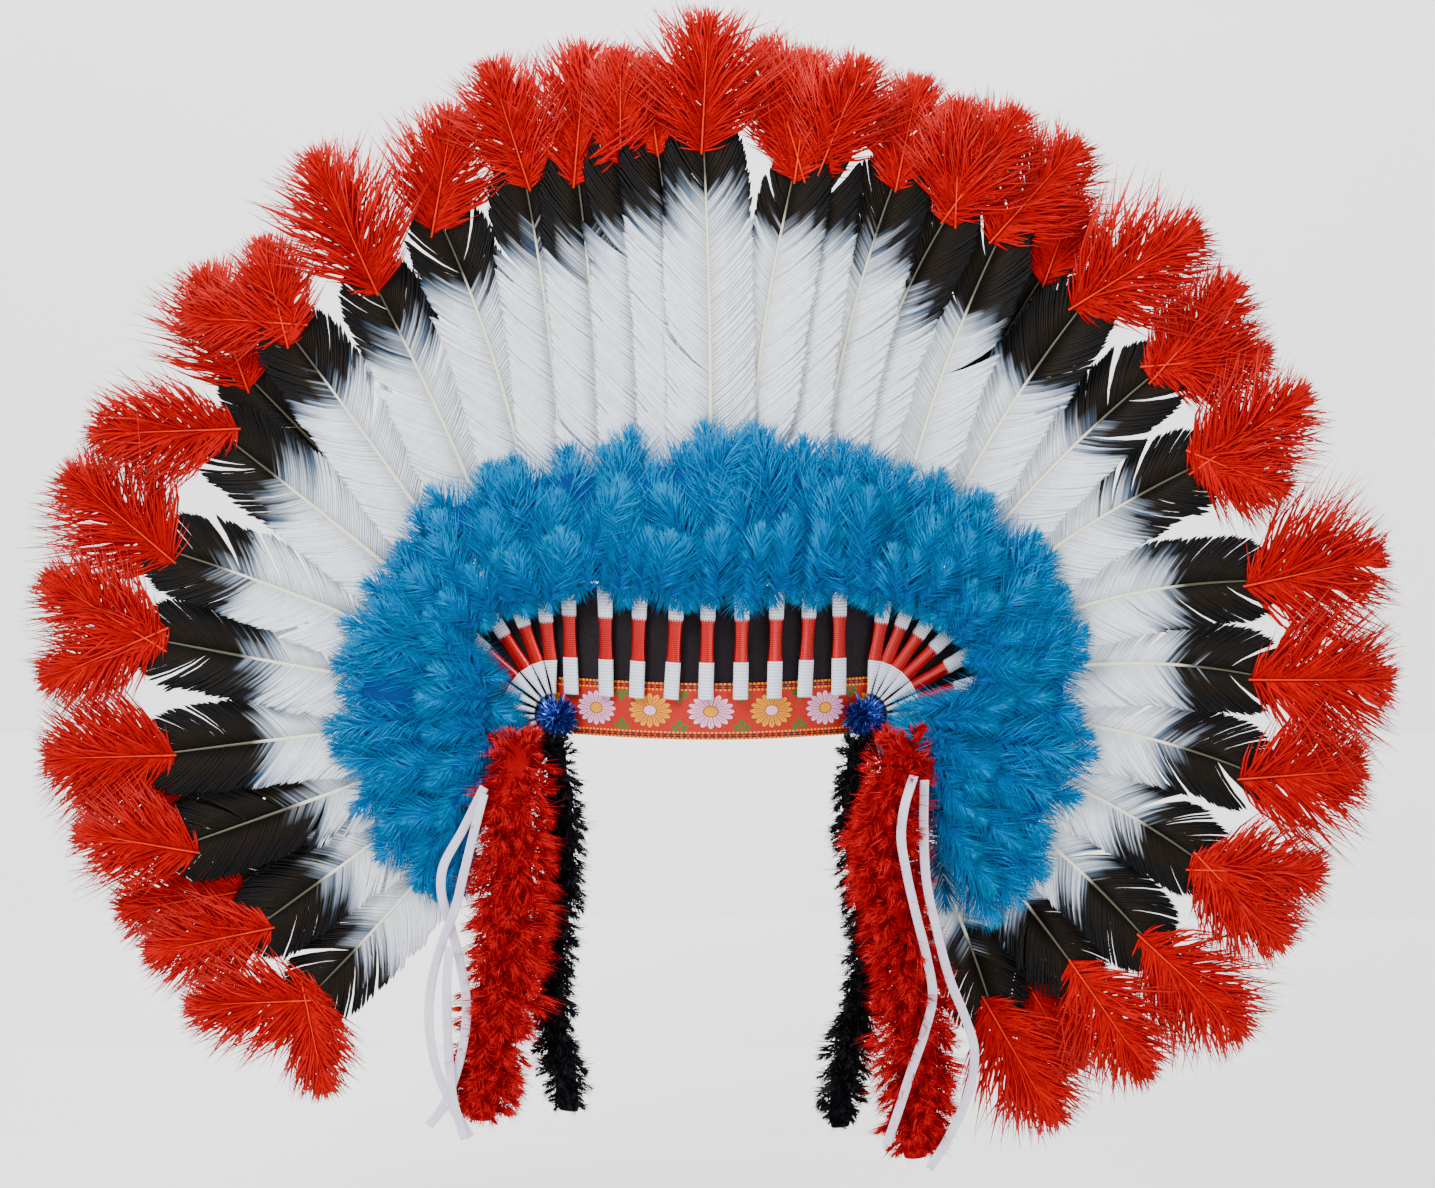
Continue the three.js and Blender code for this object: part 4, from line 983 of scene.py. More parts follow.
# Painted grey highlight for the black boas' strand tips.
GREY_TIP_HIGHLIGHT = (0.085, 0.085, 0.10)
BOA_TOP_FULLNESS = 0.6
BOA_SWELL_ROWS = 2
BOA_TOP_RISE = 1.9
BOA_STRAND_HALF = 0.40 * MM
BOA_CORE_ROWS, BOA_CORE_SIDES = 70, 16
RED_BOA_LAYER, RED_BOA_HALF = 29 * MM, 15 * MM
BLACK_BOA_LAYER, BLACK_BOA_HALF = 9.4 * MM, 7.4 * MM


def boa_layer(layer, index):
    """Height of a boa's middle over the band. A red boa's top lies on the bound quills and it swells out below,
    and a black boa, whose layer is lower than that, keeps one height."""
    on_quills = FAN_LAYER + WRAP_HALF_THICKNESS + SEAT_GAP + RED_BOA_HALF * BOA_TOP_FULLNESS
    share = np.clip(index / BOA_SWELL_ROWS, 0, 1)
    return min(on_quills, layer) * (1 - share) + layer * share


def boa_line(rows, side, layer, share):
    """Middle, half width and layer of a boa at shares of its length, between the rows of its table."""
    drop, out, half = np.array(rows).T
    at = share * drop[-1]
    index = np.interp(at, drop, np.arange(len(drop)))
    x = side * np.interp(at, drop, out) * BOA_LENGTH
    z = PIVOT_HEIGHT - ROSETTE_RADIUS - SEAT_GAP - at * BOA_LENGTH
    return np.stack([x, z, boa_layer(layer, index)], axis=-1), np.interp(at, drop, half) * BOA_LENGTH


def boa_core(rows, side, layer, half_thickness):
    """An oval tube with soft lumps, well inside the down."""
    share = np.linspace(0.0, 0.97, BOA_CORE_ROWS)
    middle, half = boa_line(rows, side, layer, share)
    angle = np.linspace(0, 2 * np.pi, BOA_CORE_SIDES, endpoint=False)[None]
    lump = 0.50 + 0.06 * np.sin(share * 55)[:, None] * np.cos(2 * angle)
    thick = half_thickness * (0.6 + 0.4 * smooth_step(0, 0.1, share))[:, None]
    x = middle[:, :1] + half[:, None] * lump * np.cos(angle)
    z = np.repeat(middle[:, 1:2], BOA_CORE_SIDES, axis=1)
    flat = np.stack([x, z, middle[:, 2:] + thick * lump * np.sin(angle)], axis=-1)
    return tube_points(place(flat))


def boa_down(rows, side, layer, half_thickness, tuft_count, strand_count, seed, colours):
    """Tufts that stand round the core at the golden angle, lean outwards and hang down by their droop, which
    turns into a rise at the top. Each is a small open fan."""
    random = np.random.default_rng(seed)
    share = (np.arange(tuft_count) + random.uniform(0, 1, tuft_count)) / tuft_count
    middle, half = boa_line(rows, side, layer, share * 0.95)
    around = np.arange(tuft_count) * np.pi * (3 - np.sqrt(5)) + random.normal(0, 0.3, tuft_count)
    outward_way = np.stack([np.cos(around), np.zeros(tuft_count), np.sin(around) * 0.8], axis=-1)
    top = 1 - smooth_step(0.0, 0.09, share)
    droop = (random.uniform(0.35, 1.0, tuft_count) - BOA_TOP_RISE * top)[:, None]
    way = unit(outward_way + np.array([0, -1.0, 0]) * droop)
    side_way = unit(np.cross(way, outward_way) + random.normal(0, 0.5, (tuft_count, 3)))
    thickness = np.full(tuft_count, half_thickness)
    inner = outward_way * np.stack([half, half, thickness], axis=-1) * 0.35
    length = half * random.uniform(0.66, 1.00, tuft_count) * (1 - 0.25 * smooth_step(0.9, 1.0, share))
    flat, faces, along, owner, place_share, chance = tufts(
        middle + inner, way, side_way, length, half * random.uniform(1.0, 1.5, tuft_count), strand_count,
        seed + 1, half_width=BOA_STRAND_HALF, dome=0.45, wave=0.0, steps=2, fullest=0.6, foot=0.25,
        slants=(66, 14))
    # Painted shade darkens the strands' roots and the tufts' feet, and a painted highlight lightens some
    # strands' tips.
    root_shade, full, pale = colours
    fullness = along * 0.7 + place_share[owner] * 0.3 + 0.25 * chance[owner]
    paint = mix(root_shade, full, smooth_step(0.0, 0.7, fullness))
    tip_highlight = smooth_step(0.6, 1.0, along) * chance[owner] ** 2 * 0.6
    paint = paint * (1 - tip_highlight[:, None]) + np.array(pale) * tip_highlight[:, None]
    return place(flat), faces, paint * strand_shade(chance[owner], 0.72, 1.24)


# Each kind's three colours: painted shade for the roots and the core, the down's own colour, and a painted
# highlight for the tips.
RED_COLOURS = ((0.26, 0.0, 0.003), (0.64, 0.001, 0.008), (0.88, 0.05, 0.05))
BLACK_COLOURS = ((0.002, 0.002, 0.003), BLACK_DOWN, GREY_TIP_HIGHLIGHT)
RED_KIND = (RED_BOA_LAYER, RED_BOA_HALF, 54, RED_COLOURS, "red_down")
BLACK_KIND = (BLACK_BOA_LAYER, BLACK_BOA_HALF, 46, BLACK_COLOURS, "black_down")
BOAS = (
    ("red_boa_left", RED_BOA_LEFT, -1, 360, RED_KIND), ("red_boa_right", RED_BOA_RIGHT, 1, 370, RED_KIND),
    ("black_boa_left", BLACK_BOA_LEFT, -1, 290, BLACK_KIND),
    ("black_boa_right", BLACK_BOA_RIGHT, 1, 300, BLACK_KIND),
)
triangles = 0
for index, (node, rows, side, tuft_count, kind) in enumerate(BOAS):
    layer, half_thickness, strand_count, colours, slot_name = kind
    points, faces = boa_core(rows, side, layer, half_thickness)
    # The core is painted in the darkest colour: painted shade inside the down.
    core_shade_paint = np.tile(colours[0], (len(points), 1))
    add_mesh(node + "_core", points, faces, [down_material], node, core_shade_paint)
    points, faces, paint = boa_down(rows, side, layer, half_thickness, tuft_count, strand_count,
                                    40 + index * 7, colours)
    triangles += len(faces)
    add_mesh(node + "_down", points, faces, [down_material], node, paint)
print("boa triangles:", triangles)

# %% [markdown]
# A rosette is a pompom of tinsel: stiff shiny strips that stand out from its middle in all directions. The
# strips are strands again, short and flat, with flat shading so that each face glints by itself.

# %% Rosettes
ROSETTE_THICKNESS = 13 * MM
TINSEL = (0.01, 0.05, 0.42)
TINSEL_LIGHT = (0.25, 0.40, 0.95)
ROSETTE_STRIPS = 620
STRIP_HALF_WIDTHS = np.array([0.35, 0.62, 0.62, 0.4]) * MM
STRIP_BEND = 0.35


def rosette(side, seed):
    """Strips from the middle to a dome, in directions spread evenly by the golden angle. Each bends off its
    direction by the square of its share and is kept in front of the ribbon."""
    random = np.random.default_rng(seed)
    index = np.arange(ROSETTE_STRIPS)
    up = 1 - 1.25 * (index + 0.5) / ROSETTE_STRIPS
    turn = index * np.pi * (3 - np.sqrt(5))
    ring = np.sqrt(np.clip(1 - up ** 2, 0, 1))
    way = np.stack([ring * np.cos(turn), ring * np.sin(turn), up], axis=-1)
    base = RIBBON_THICKNESS + 2 * SEAT_GAP + 0.42 * ROSETTE_THICKNESS
    middle = np.array([side * PIVOT_HALF_SPAN, PIVOT_HEIGHT, base])
    part = np.linspace(0.25, 1, 4)[None, :, None]
    reach = random.uniform(0.82, 1.05, ROSETTE_STRIPS)[:, None, None]
    size = np.array([ROSETTE_RADIUS, ROSETTE_RADIUS, 0.60 * ROSETTE_THICKNESS])
    bent = way[:, None] + STRIP_BEND * part * random.normal(0, 0.5, (ROSETTE_STRIPS, 1, 3)) * part
    paths = middle + bent * part * reach * size
    paths[..., 2] = np.maximum(paths[..., 2], RIBBON_THICKNESS + 2 * SEAT_GAP)
    tangent = unit(np.gradient(paths, axis=1))
    spin = unit(random.normal(0, 1, (ROSETTE_STRIPS, 1, 3)) + np.zeros_like(paths))
    lift = unit(np.cross(tangent, spin))
    across = np.cross(tangent, lift)
    half = np.broadcast_to(STRIP_HALF_WIDTHS, paths.shape[:2])
    flat, faces, along, owner = strands(paths, across, lift, half, half * 0.35)
    glint = (random.random(ROSETTE_STRIPS) ** 3)[owner]
    paint = mix(TINSEL, TINSEL_LIGHT, smooth_step(0.4, 1.0, along) * glint)
    return place(flat), faces, paint


for side, node in ((-1, "rosette_left"), (1, "rosette_right")):
    points, faces, paint = rosette(side, 70 + side)
    add_mesh(node + "_tinsel", points, faces, [tinsel_material], node, paint, smooth=False)
    print(node, "triangles:", len(faces))

# %% [markdown]
# The felt base is a wall cut to an outline: straight over the brow and round beside each rosette. A flat
# sheet with Solidify would do, but the wall has to bow with the band, so it is a grid whose columns run
# from the lower to the upper edge, up the front and down the back, closed all round. Felt is matt with fine
# fibres, so its material has a fine noise in its colour and its bump, and only a slight sheen.

# %% Felt base
FELT_HEIGHT = 81 * MM
FELT_LOW = 1 * MM
FELT_CORNER = 78.5 * MM
FELT_END_LEAN = 152
FELT_END_SHARE = 0.985
FELT_COLUMNS, FELT_ROWS = 130, 12
FELT_SHADE, FELT_LIGHT = (0.004, 0.003, 0.004), (0.026, 0.020, 0.024)
RIBBON_HEIGHT = 30 * MM
RIBBON_HALF_LENGTH = 85 * MM


def felt_edges(x):
    """Lower and upper edge of the felt at distances from the middle: straight, then a line and an arc."""
    side = np.abs(x) - PIVOT_HALF_SPAN
    arc = np.sqrt(np.maximum(FELT_RADIUS ** 2 - np.maximum(side, 0) ** 2, 0))
    flap = heading(FELT_END_LEAN) * FELT_RADIUS
    top = np.where(side <= 0, FELT_HEIGHT, np.minimum(FELT_HEIGHT, PIVOT_HEIGHT + arc))
    slope = (PIVOT_HEIGHT + flap[1] - FELT_LOW) / (PIVOT_HALF_SPAN + flap[0] - FELT_CORNER)
    sloping = FELT_LOW + np.maximum(np.abs(x) - FELT_CORNER, 0) * slope
    return np.where(side < flap[0], sloping, PIVOT_HEIGHT - arc), top


def wall(x, low, top, back, front, rows):
    """Rings for a closed wall: columns of points up its front and down its back, one ring for each x."""
    share = np.linspace(0, 1, rows)
    z = low[:, None] + (top - low)[:, None] * share[None]
    column = np.repeat(x[:, None], rows, axis=1)
    face = np.stack([column, z, np.full_like(z, front)], axis=-1)
    rear = np.stack([column, z, np.full_like(z, back)], axis=-1)[:, ::-1]
    return np.concatenate([face, rear], axis=1)


felt_end = PIVOT_HALF_SPAN + FELT_RADIUS * FELT_END_SHARE
felt_x = np.linspace(-felt_end, felt_end, FELT_COLUMNS)
felt_low, felt_top = felt_edges(felt_x)
felt_rings = wall(felt_x, felt_low, felt_top, -FELT_WALL * SKIN, 0.0, FELT_ROWS)
felt_points, felt_faces = tube_points(place(felt_rings))
felt_material, felt_shader = new_material("black felt", roughness=0.95, specular=0.05, sheen=0.08)
felt_noise = noise_node(felt_material, scale=700, detail=6.0)
# The colour follows the bump's noise: the felt's own mottle, with painted shade in the bump's hollows.
two_tone(felt_material, felt_shader, felt_noise.outputs["Fac"], FELT_SHADE, FELT_LIGHT)
felt_bump = felt_material.node_tree.nodes.new("ShaderNodeBump")
felt_bump.inputs["Strength"].default_value = 0.6
felt_bump.inputs["Distance"].default_value = 0.4 * MM
felt_material.node_tree.links.new(felt_noise.outputs["Fac"], felt_bump.inputs["Height"])
felt_material.node_tree.links.new(felt_bump.outputs["Normal"], felt_shader.inputs["Normal"])
felt_piece = add_mesh("felt_wall", felt_points, felt_faces, [felt_material], "felt_base")

# %% [markdown]
# The brow ribbon is woven with a row of daisies, pink and yellow in turn, with green sprigs between them
# and a chequered border. Such a pattern could be painted as an image, but a formula stays sharp at any
# distance. It follows the cloth, so it is worked out from the UV map in metres along and across the ribbon.
# A daisy is a ring of petals: an angle times eight gives sixteen petals, and the distance from the middle
# gives where they end. Each colour is then laid over the ones before it through its own mask.

# %% Ribbon pattern
DAISY_PITCH = 33.5 * MM
DAISY_HALF = (12.6 * MM, 9.2 * MM)
SPRIG_LEAVES = ((0.0, 6.4 * MM, 1.5 * MM, 1.9 * MM), (3.0 * MM, 8.2 * MM, 2.0 * MM, 1.1 * MM),
                (2.2 * MM, 10.0 * MM, 1.6 * MM, 0.7 * MM))
STEM_HALF, STEM_LOW, STEM_TOP = 0.45 * MM, 6 * MM, 10.6 * MM
STITCH_PITCH, SQUARE_PITCH = 2.3 * MM, 3.7 * MM
BORDER_LOW = 10.9 * MM
RAILS = ((BORDER_LOW, 11.7 * MM), (14.1 * MM, 15.1 * MM))
SQUARES_LOW, SQUARES_TOP = 12.0 * MM, 13.8 * MM
BAR_HALF = 0.10 * MM
WARP_PITCH, WEFT_PITCH = 0.42 * MM, 0.36 * MM
GROUND, PINK_PETAL, YELLOW_PETAL = (0.44, 0.010, 0.003), (0.84, 0.42, 0.64), (0.80, 0.30, 0.001)
SPRIG_GREEN, BORDER_RED, RAIL_YELLOW = (0.05, 0.13, 0.02), (0.48, 0.016, 0.003), (0.90, 0.42, 0.0)
OUTLINE_RED, VEIN_RED, HEART_LINE = (0.26, 0.008, 0.004), (0.26, 0.008, 0.010), (0.30, 0.08, 0.02)
SQUARE_BLACK, BAR_RED = (0.008, 0.004, 0.004), (0.62, 0.05, 0.015)


class Formula:
    """Builds math nodes, so that a pattern reads as a formula. A mask is 1 inside and 0 outside."""

    def __init__(self, material):
        self.tree = material.node_tree

    def do(self, operation, first, second=None):
        """One math node. Numbers go on its sockets and other values are linked."""
        node = self.tree.nodes.new("ShaderNodeMath")
        node.operation = operation
        for socket, value in zip(node.inputs, (first, second)):
            if value is None:
                continue
            if isinstance(value, (int, float)):
                socket.default_value = value
            else:
                self.tree.links.new(value, socket)
        return node.outputs[0]

    def below(self, value, limit):
        return self.do("LESS_THAN", value, limit)

    def above(self, value, limit):
        return self.do("GREATER_THAN", value, limit)

    def between(self, value, low, top):
        return self.both(self.above(value, low), self.below(value, top))

    def both(self, first, second):
        return self.do("MULTIPLY", first, second)

    def either(self, first, second):
        return self.do("MAXIMUM", first, second)

    def stripes(self, value, pitch, level):
        """Where the sine of a value, with one turn for each pitch, is above a level."""
        return self.above(self.wave(value, pitch), level)

    def wave(self, value, pitch):
        return self.do("SINE", self.do("MULTIPLY", value, 2 * np.pi / pitch))

    def oval(self, x, y, centre_x, centre_y, half_x, half_y):
        """Where the squares of both distances from the centre, as shares of the half sizes, add to under 1."""
        across = self.do("DIVIDE", self.do("SUBTRACT", x, centre_x), half_x)
        up = self.do("DIVIDE", self.do("SUBTRACT", y, centre_y), half_y)
        squares = self.do("ADD", self.do("MULTIPLY", across, across), self.do("MULTIPLY", up, up))
        return self.below(squares, 1.0)

    def colour(self, base, mask, paint):
        """The base colour, with the paint where the mask is 1."""
        blend = self.tree.nodes.new("ShaderNodeMix")
        blend.data_type = "RGBA"
        self.tree.links.new(mask, blend.inputs["Factor"])
        for socket, value in (("A", base), ("B", paint)):
            if isinstance(value, tuple):
                blend.inputs[socket].default_value = (*value, 1)
            else:
                self.tree.links.new(value, blend.inputs[socket])
        return blend.outputs["Result"]


def ribbon_pattern(material, shader):
    """Ground, sprigs, daisies and border of the ribbon, one over the other."""
    f = Formula(material)
    uv = material.node_tree.nodes.new("ShaderNodeUVMap")
    uv.uv_map = "UVMap"
    split = material.node_tree.nodes.new("ShaderNodeSeparateXYZ")
    material.node_tree.links.new(uv.outputs["UV"], split.inputs[0])
    along, up = split.outputs[0], split.outputs[1]
    cell = f.do("DIVIDE", along, DAISY_PITCH)
    number = f.do("ROUND", cell)
    x = f.do("MULTIPLY", f.do("SUBTRACT", cell, number), DAISY_PITCH)
    yellow_turn = f.do("ABSOLUTE", f.do("MODULO", number, 2.0))
    high = f.do("ABSOLUTE", up)
    side = f.do("SUBTRACT", DAISY_PITCH / 2, f.do("ABSOLUTE", x))
    sprig = f.both(f.below(side, STEM_HALF), f.between(high, STEM_LOW, STEM_TOP))
    for leaf in SPRIG_LEAVES:
        sprig = f.either(sprig, f.oval(side, high, *leaf))
    px, py = f.do("DIVIDE", x, DAISY_HALF[0]), f.do("DIVIDE", up, DAISY_HALF[1])
    distance = f.do("SQRT", f.do("ADD", f.do("MULTIPLY", px, px), f.do("MULTIPLY", py, py)))
    angle = f.do("ARCTAN2", py, px)
    petal = f.do("ABSOLUTE", f.do("COSINE", f.do("MULTIPLY", angle, 8.0)))
    edge = f.do("ADD", 0.74, f.do("MULTIPLY", petal, 0.26))
    daisy = f.below(distance, edge)
    outline = f.below(distance, f.do("ADD", edge, 0.07))
    vein_width = f.do("DIVIDE", 0.17, f.do("ADD", distance, 0.05))
    vein = f.both(f.below(petal, vein_width), f.above(distance, 0.33))
    rib = f.both(f.above(petal, 0.985), f.between(distance, 0.42, 0.80))
    heart = f.below(distance, 0.29)
    heart_line = f.below(f.do("ABSOLUTE", f.do("SUBTRACT", distance, 0.31)), 0.03)
    rails = f.both(f.either(f.between(high, *RAILS[0]), f.between(high, *RAILS[1])),
                   f.stripes(along, STITCH_PITCH, -0.1))
    chequer = f.between(high, SQUARES_LOW, SQUARES_TOP)
    squares = f.both(chequer, f.stripes(along, SQUARE_PITCH, -0.45))
    bar_height = f.do("SUBTRACT", high, (SQUARES_LOW + SQUARES_TOP) / 2)
    bars = f.both(chequer, f.below(f.do("ABSOLUTE", bar_height), BAR_HALF))
    petals = f.colour(PINK_PETAL, yellow_turn, YELLOW_PETAL)
    hearts = f.colour(YELLOW_PETAL, yellow_turn, PINK_PETAL)
    picture = f.colour(GROUND, sprig, SPRIG_GREEN)
    layers = ((outline, OUTLINE_RED), (daisy, petals), (f.both(daisy, f.either(vein, rib)), VEIN_RED),
              (heart, hearts), (heart_line, HEART_LINE), (f.above(high, BORDER_LOW), BORDER_RED),
              (rails, RAIL_YELLOW), (squares, SQUARE_BLACK), (bars, BAR_RED))
    for mask, paint in layers:
        picture = f.colour(picture, mask, paint)
    weave = f.do("MULTIPLY", f.wave(along, WARP_PITCH), f.wave(up, WEFT_PITCH))
    bump = material.node_tree.nodes.new("ShaderNodeBump")
    bump.inputs["Strength"].default_value = 0.35
    bump.inputs["Distance"].default_value = 0.12 * MM
    material.node_tree.links.new(weave, bump.inputs["Height"])
    material.node_tree.links.new(bump.outputs["Normal"], shader.inputs["Normal"])
    shade = f.do("ADD", 0.95, f.do("MULTIPLY", weave, 0.10))
    scaled = material.node_tree.nodes.new("ShaderNodeVectorMath")
    scaled.operation = "SCALE"
    material.node_tree.links.new(picture, scaled.inputs[0])
    material.node_tree.links.new(shade, scaled.inputs["Scale"])
    material.node_tree.links.new(scaled.outputs["Vector"], shader.inputs["Base Color"])


ribbon_material, ribbon_shader = new_material("woven ribbon", roughness=0.55, specular=0.25)
ribbon_pattern(ribbon_material, ribbon_shader)
print("pattern nodes:", len(ribbon_material.node_tree.nodes))

# %% [markdown]
# The ribbon itself is the same kind of wall as the felt, a millimetre thick and stretched over the felt's
# lower edge. Its UV map has to follow the cloth and not the view, or the daisies would look squeezed where
# the band bows away. So u is the length of arc along the bow, measured from the middle, and v is the
# height.

# %% Brow ribbon
RIBBON_COLUMNS, RIBBON_ROWS = 160, 14
ribbon_x = np.linspace(-RIBBON_HALF_LENGTH, RIBBON_HALF_LENGTH, RIBBON_COLUMNS)
ribbon_low, ribbon_top = np.zeros_like(ribbon_x), np.full_like(ribbon_x, RIBBON_HEIGHT)
ribbon_flat = wall(ribbon_x, ribbon_low, ribbon_top, SEAT_GAP, SEAT_GAP + RIBBON_THICKNESS, RIBBON_ROWS)
ribbon_points, ribbon_faces = tube_points(place(ribbon_flat))
arc_steps = np.hypot(np.gradient(ribbon_x), np.gradient(surface(ribbon_x, np.zeros_like(ribbon_x))))
arc = np.cumsum(arc_steps) - arc_steps[0]
arc = arc - np.interp(0.0, ribbon_x, arc)
ribbon_v = ribbon_flat[..., 1].ravel() - RIBBON_HEIGHT / 2
ribbon_uv = np.stack([np.repeat(arc, 2 * RIBBON_ROWS), ribbon_v], axis=-1)
ribbon_uv = np.concatenate([ribbon_uv, [[arc[0], 0], [arc[-1], 0]]])
ribbon_piece = add_mesh("ribbon_weave", ribbon_points, ribbon_faces, [ribbon_material], "brow_ribbon",
                        uv=ribbon_uv)

# %% [markdown]
# The ties are limp satin ribbons that hang from the boas' down. Their routes are the model's own chosen
# points, in millimetres across and up, and each point lies on the boa's front. A row gives how far the tie
# sits out of the boa, the layers at its start and further down where ties cross, the boa's side and the
# points. The curve passes through every point and makes no loop or cusp between two of them, which a Bezier
# with free handles wouldn't promise.

# %% Tie routes
TIE_WIDTH = 5 * MM
TIE_THICKNESS = 1 * MM
TIE_LAYER_STEP = 3.4 * MM
TIE_RISE_STEPS = 3
BOA_LOCK = 0.1
BOA_EDGE_EASE = 0.8
CURVE_SAMPLES = 600
TIES = {
    "tie_left_1": (-0.6, 0, 0, "left", ((-121, -28), (-133, -52), (-143.5, -72), (-144.5, -86), (-139, -106),
                   (-134, -126), (-131, -148), (-133.5, -170), (-139, -190), (-145, -204), (-152, -213))),
    "tie_left_2": (-0.6, 1, 1, "left", ((-121, -31), (-127, -54), (-132.5, -76), (-137, -94), (-144, -112),
                   (-149.5, -132), (-151.5, -152), (-150, -170), (-146, -186), (-138, -203), (-129, -217))),
    "tie_left_3": (-1.3, 2, 2, "left", ((-140, -114), (-141.5, -134), (-141.5, -156), (-140.5, -178),
                   (-138, -198), (-132, -218))),
    "tie_right_1": (1.5, 0, 0, "right", ((108, -21), (103, -36), (101, -52), (104, -72), (109, -94),
                    (115, -118), (118.5, -140), (114, -160), (107, -180), (100, -202), (94, -220))),
    "tie_right_2": (-1.4, 0, 1, "right", ((114, -24), (113.5, -50), (115, -78), (121, -106), (128, -132),
                    (136, -152), (141.5, -170), (140, -190), (133, -208), (124, -224), (117, -234))),
}


def boa_front(rows, side, x, z):
    """How far a red boa's front stands out at one place, so that a tie lies on it."""
    drop, out, half = np.array(rows).T
    heights = PIVOT_HEIGHT - ROSETTE_RADIUS - SEAT_GAP - drop * BOA_LENGTH
    below = np.nonzero(heights <= z)[0]
    index = len(heights) - 1 if len(below) == 0 else max(1, below[0])
    share = np.clip((z - heights[index - 1]) / (heights[index] - heights[index - 1]), 0, 1)
    middle = side * BOA_LENGTH * (out[index - 1] * (1 - share) + out[index] * share)
    half_width = max(half[index - 1], half[index]) * BOA_LENGTH * (1 + BOA_LOCK)
    offset = min(abs(x - middle) / half_width, 1)
    swell = RED_BOA_HALF * np.sqrt(1 - BOA_EDGE_EASE * offset ** 2)
    return boa_layer(RED_BOA_LAYER, index - 1 + share) + swell


def tie_route(seat, start_layer, layer, boa, points):
    """The route's chosen points in space, as the model lays them over the boa."""
    side = -1 if boa == "left" else 1
    rows = RED_BOA_LEFT if boa == "left" else RED_BOA_RIGHT
    route = []
    for index, (x, z) in enumerate(points):
        under = start_layer + (layer - start_layer) * min(1, index / TIE_RISE_STEPS)
        on_boa = boa_front(rows, side, x * MM, z * MM) + seat * MM
        route.append((x * MM, z * MM, on_boa + TIE_THICKNESS / 2 + under * TIE_LAYER_STEP))
    return place(np.array(route))


def smooth_route(points, count):
    """A centripetal Catmull-Rom curve through the points, at even steps: four points weigh each stretch."""
    first, last = 2 * points[0] - points[1], 2 * points[-1] - points[-2]
    knots = np.concatenate([first[None], points, last[None]])
    gaps = np.sqrt(np.linalg.norm(np.diff(knots, axis=0), axis=1))
    times = np.append(0, np.cumsum(gaps))
    at = np.linspace(times[1], times[-2], CURVE_SAMPLES)
    k = np.clip(np.searchsorted(times, at, side="right") - 1, 1, len(points) - 1)
    t0, t1, t2, t3 = (times[k + shift][:, None] for shift in (-1, 0, 1, 2))
    p0, p1, p2, p3 = (knots[k + shift] for shift in (-1, 0, 1, 2))
    at = at[:, None]
    a1 = p0 * (t1 - at) / (t1 - t0) + p1 * (at - t0) / (t1 - t0)
    a2 = p1 * (t2 - at) / (t2 - t1) + p2 * (at - t1) / (t2 - t1)
    a3 = p2 * (t3 - at) / (t3 - t2) + p3 * (at - t2) / (t3 - t2)
    b1 = a1 * (t2 - at) / (t2 - t0) + a2 * (at - t0) / (t2 - t0)
    b2 = a2 * (t3 - at) / (t3 - t1) + a3 * (at - t1) / (t3 - t1)
    curve = b1 * (t2 - at) / (t2 - t1) + b2 * (at - t1) / (t2 - t1)
    length = np.append(0, np.cumsum(np.linalg.norm(np.diff(curve, axis=0), axis=1)))
    even = np.linspace(0, length[-1], count)
    return np.stack([np.interp(even, length, curve[:, axis]) for axis in range(3)], axis=-1), length[-1]


print("ties:", len(TIES))

# %% [markdown]
# Satin ribbon is thin, and its woven edges are a little thicker than its middle. So a tie is a flat section
# with raised edges, carried along its route and twisted slightly to and fro, as a limp ribbon hangs. The
# satin is a little see-through and has an anisotropic gloss.

# %% Ties
TIE_SECTION = np.array([(-1, 0.2), (-0.96, 0.55), (-0.5, 0.42), (0, 0.36), (0.5, 0.42), (0.96, 0.55), (1, 0.2),
                        (0.96, -0.15), (0.5, -0.28), (0, -0.34), (-0.5, -0.28), (-0.96, -0.15)])
TIE_STEPS = 110
TIE_TWIST = np.radians(16)
TIE_FULLNESS = 0.8
TIE_UV_SCALE = 10
SATIN_SHADE, SATIN_LIGHT = (0.62, 0.58, 0.78), (0.86, 0.83, 0.95)
satin_material, satin_shader = new_material("pale satin", roughness=0.35, specular=0.5, sheen=0.1)
satin_shader.inputs["Anisotropic"].default_value = 0.5
satin_shader.inputs["Alpha"].default_value = 0.84
wave_bump(satin_material, satin_shader, repeats=90, strength=0.12, distance=0.05 * MM)
satin_noise = noise_node(satin_material, scale=120)
two_tone(satin_material, satin_shader, satin_noise.outputs["Fac"], SATIN_SHADE, SATIN_LIGHT)

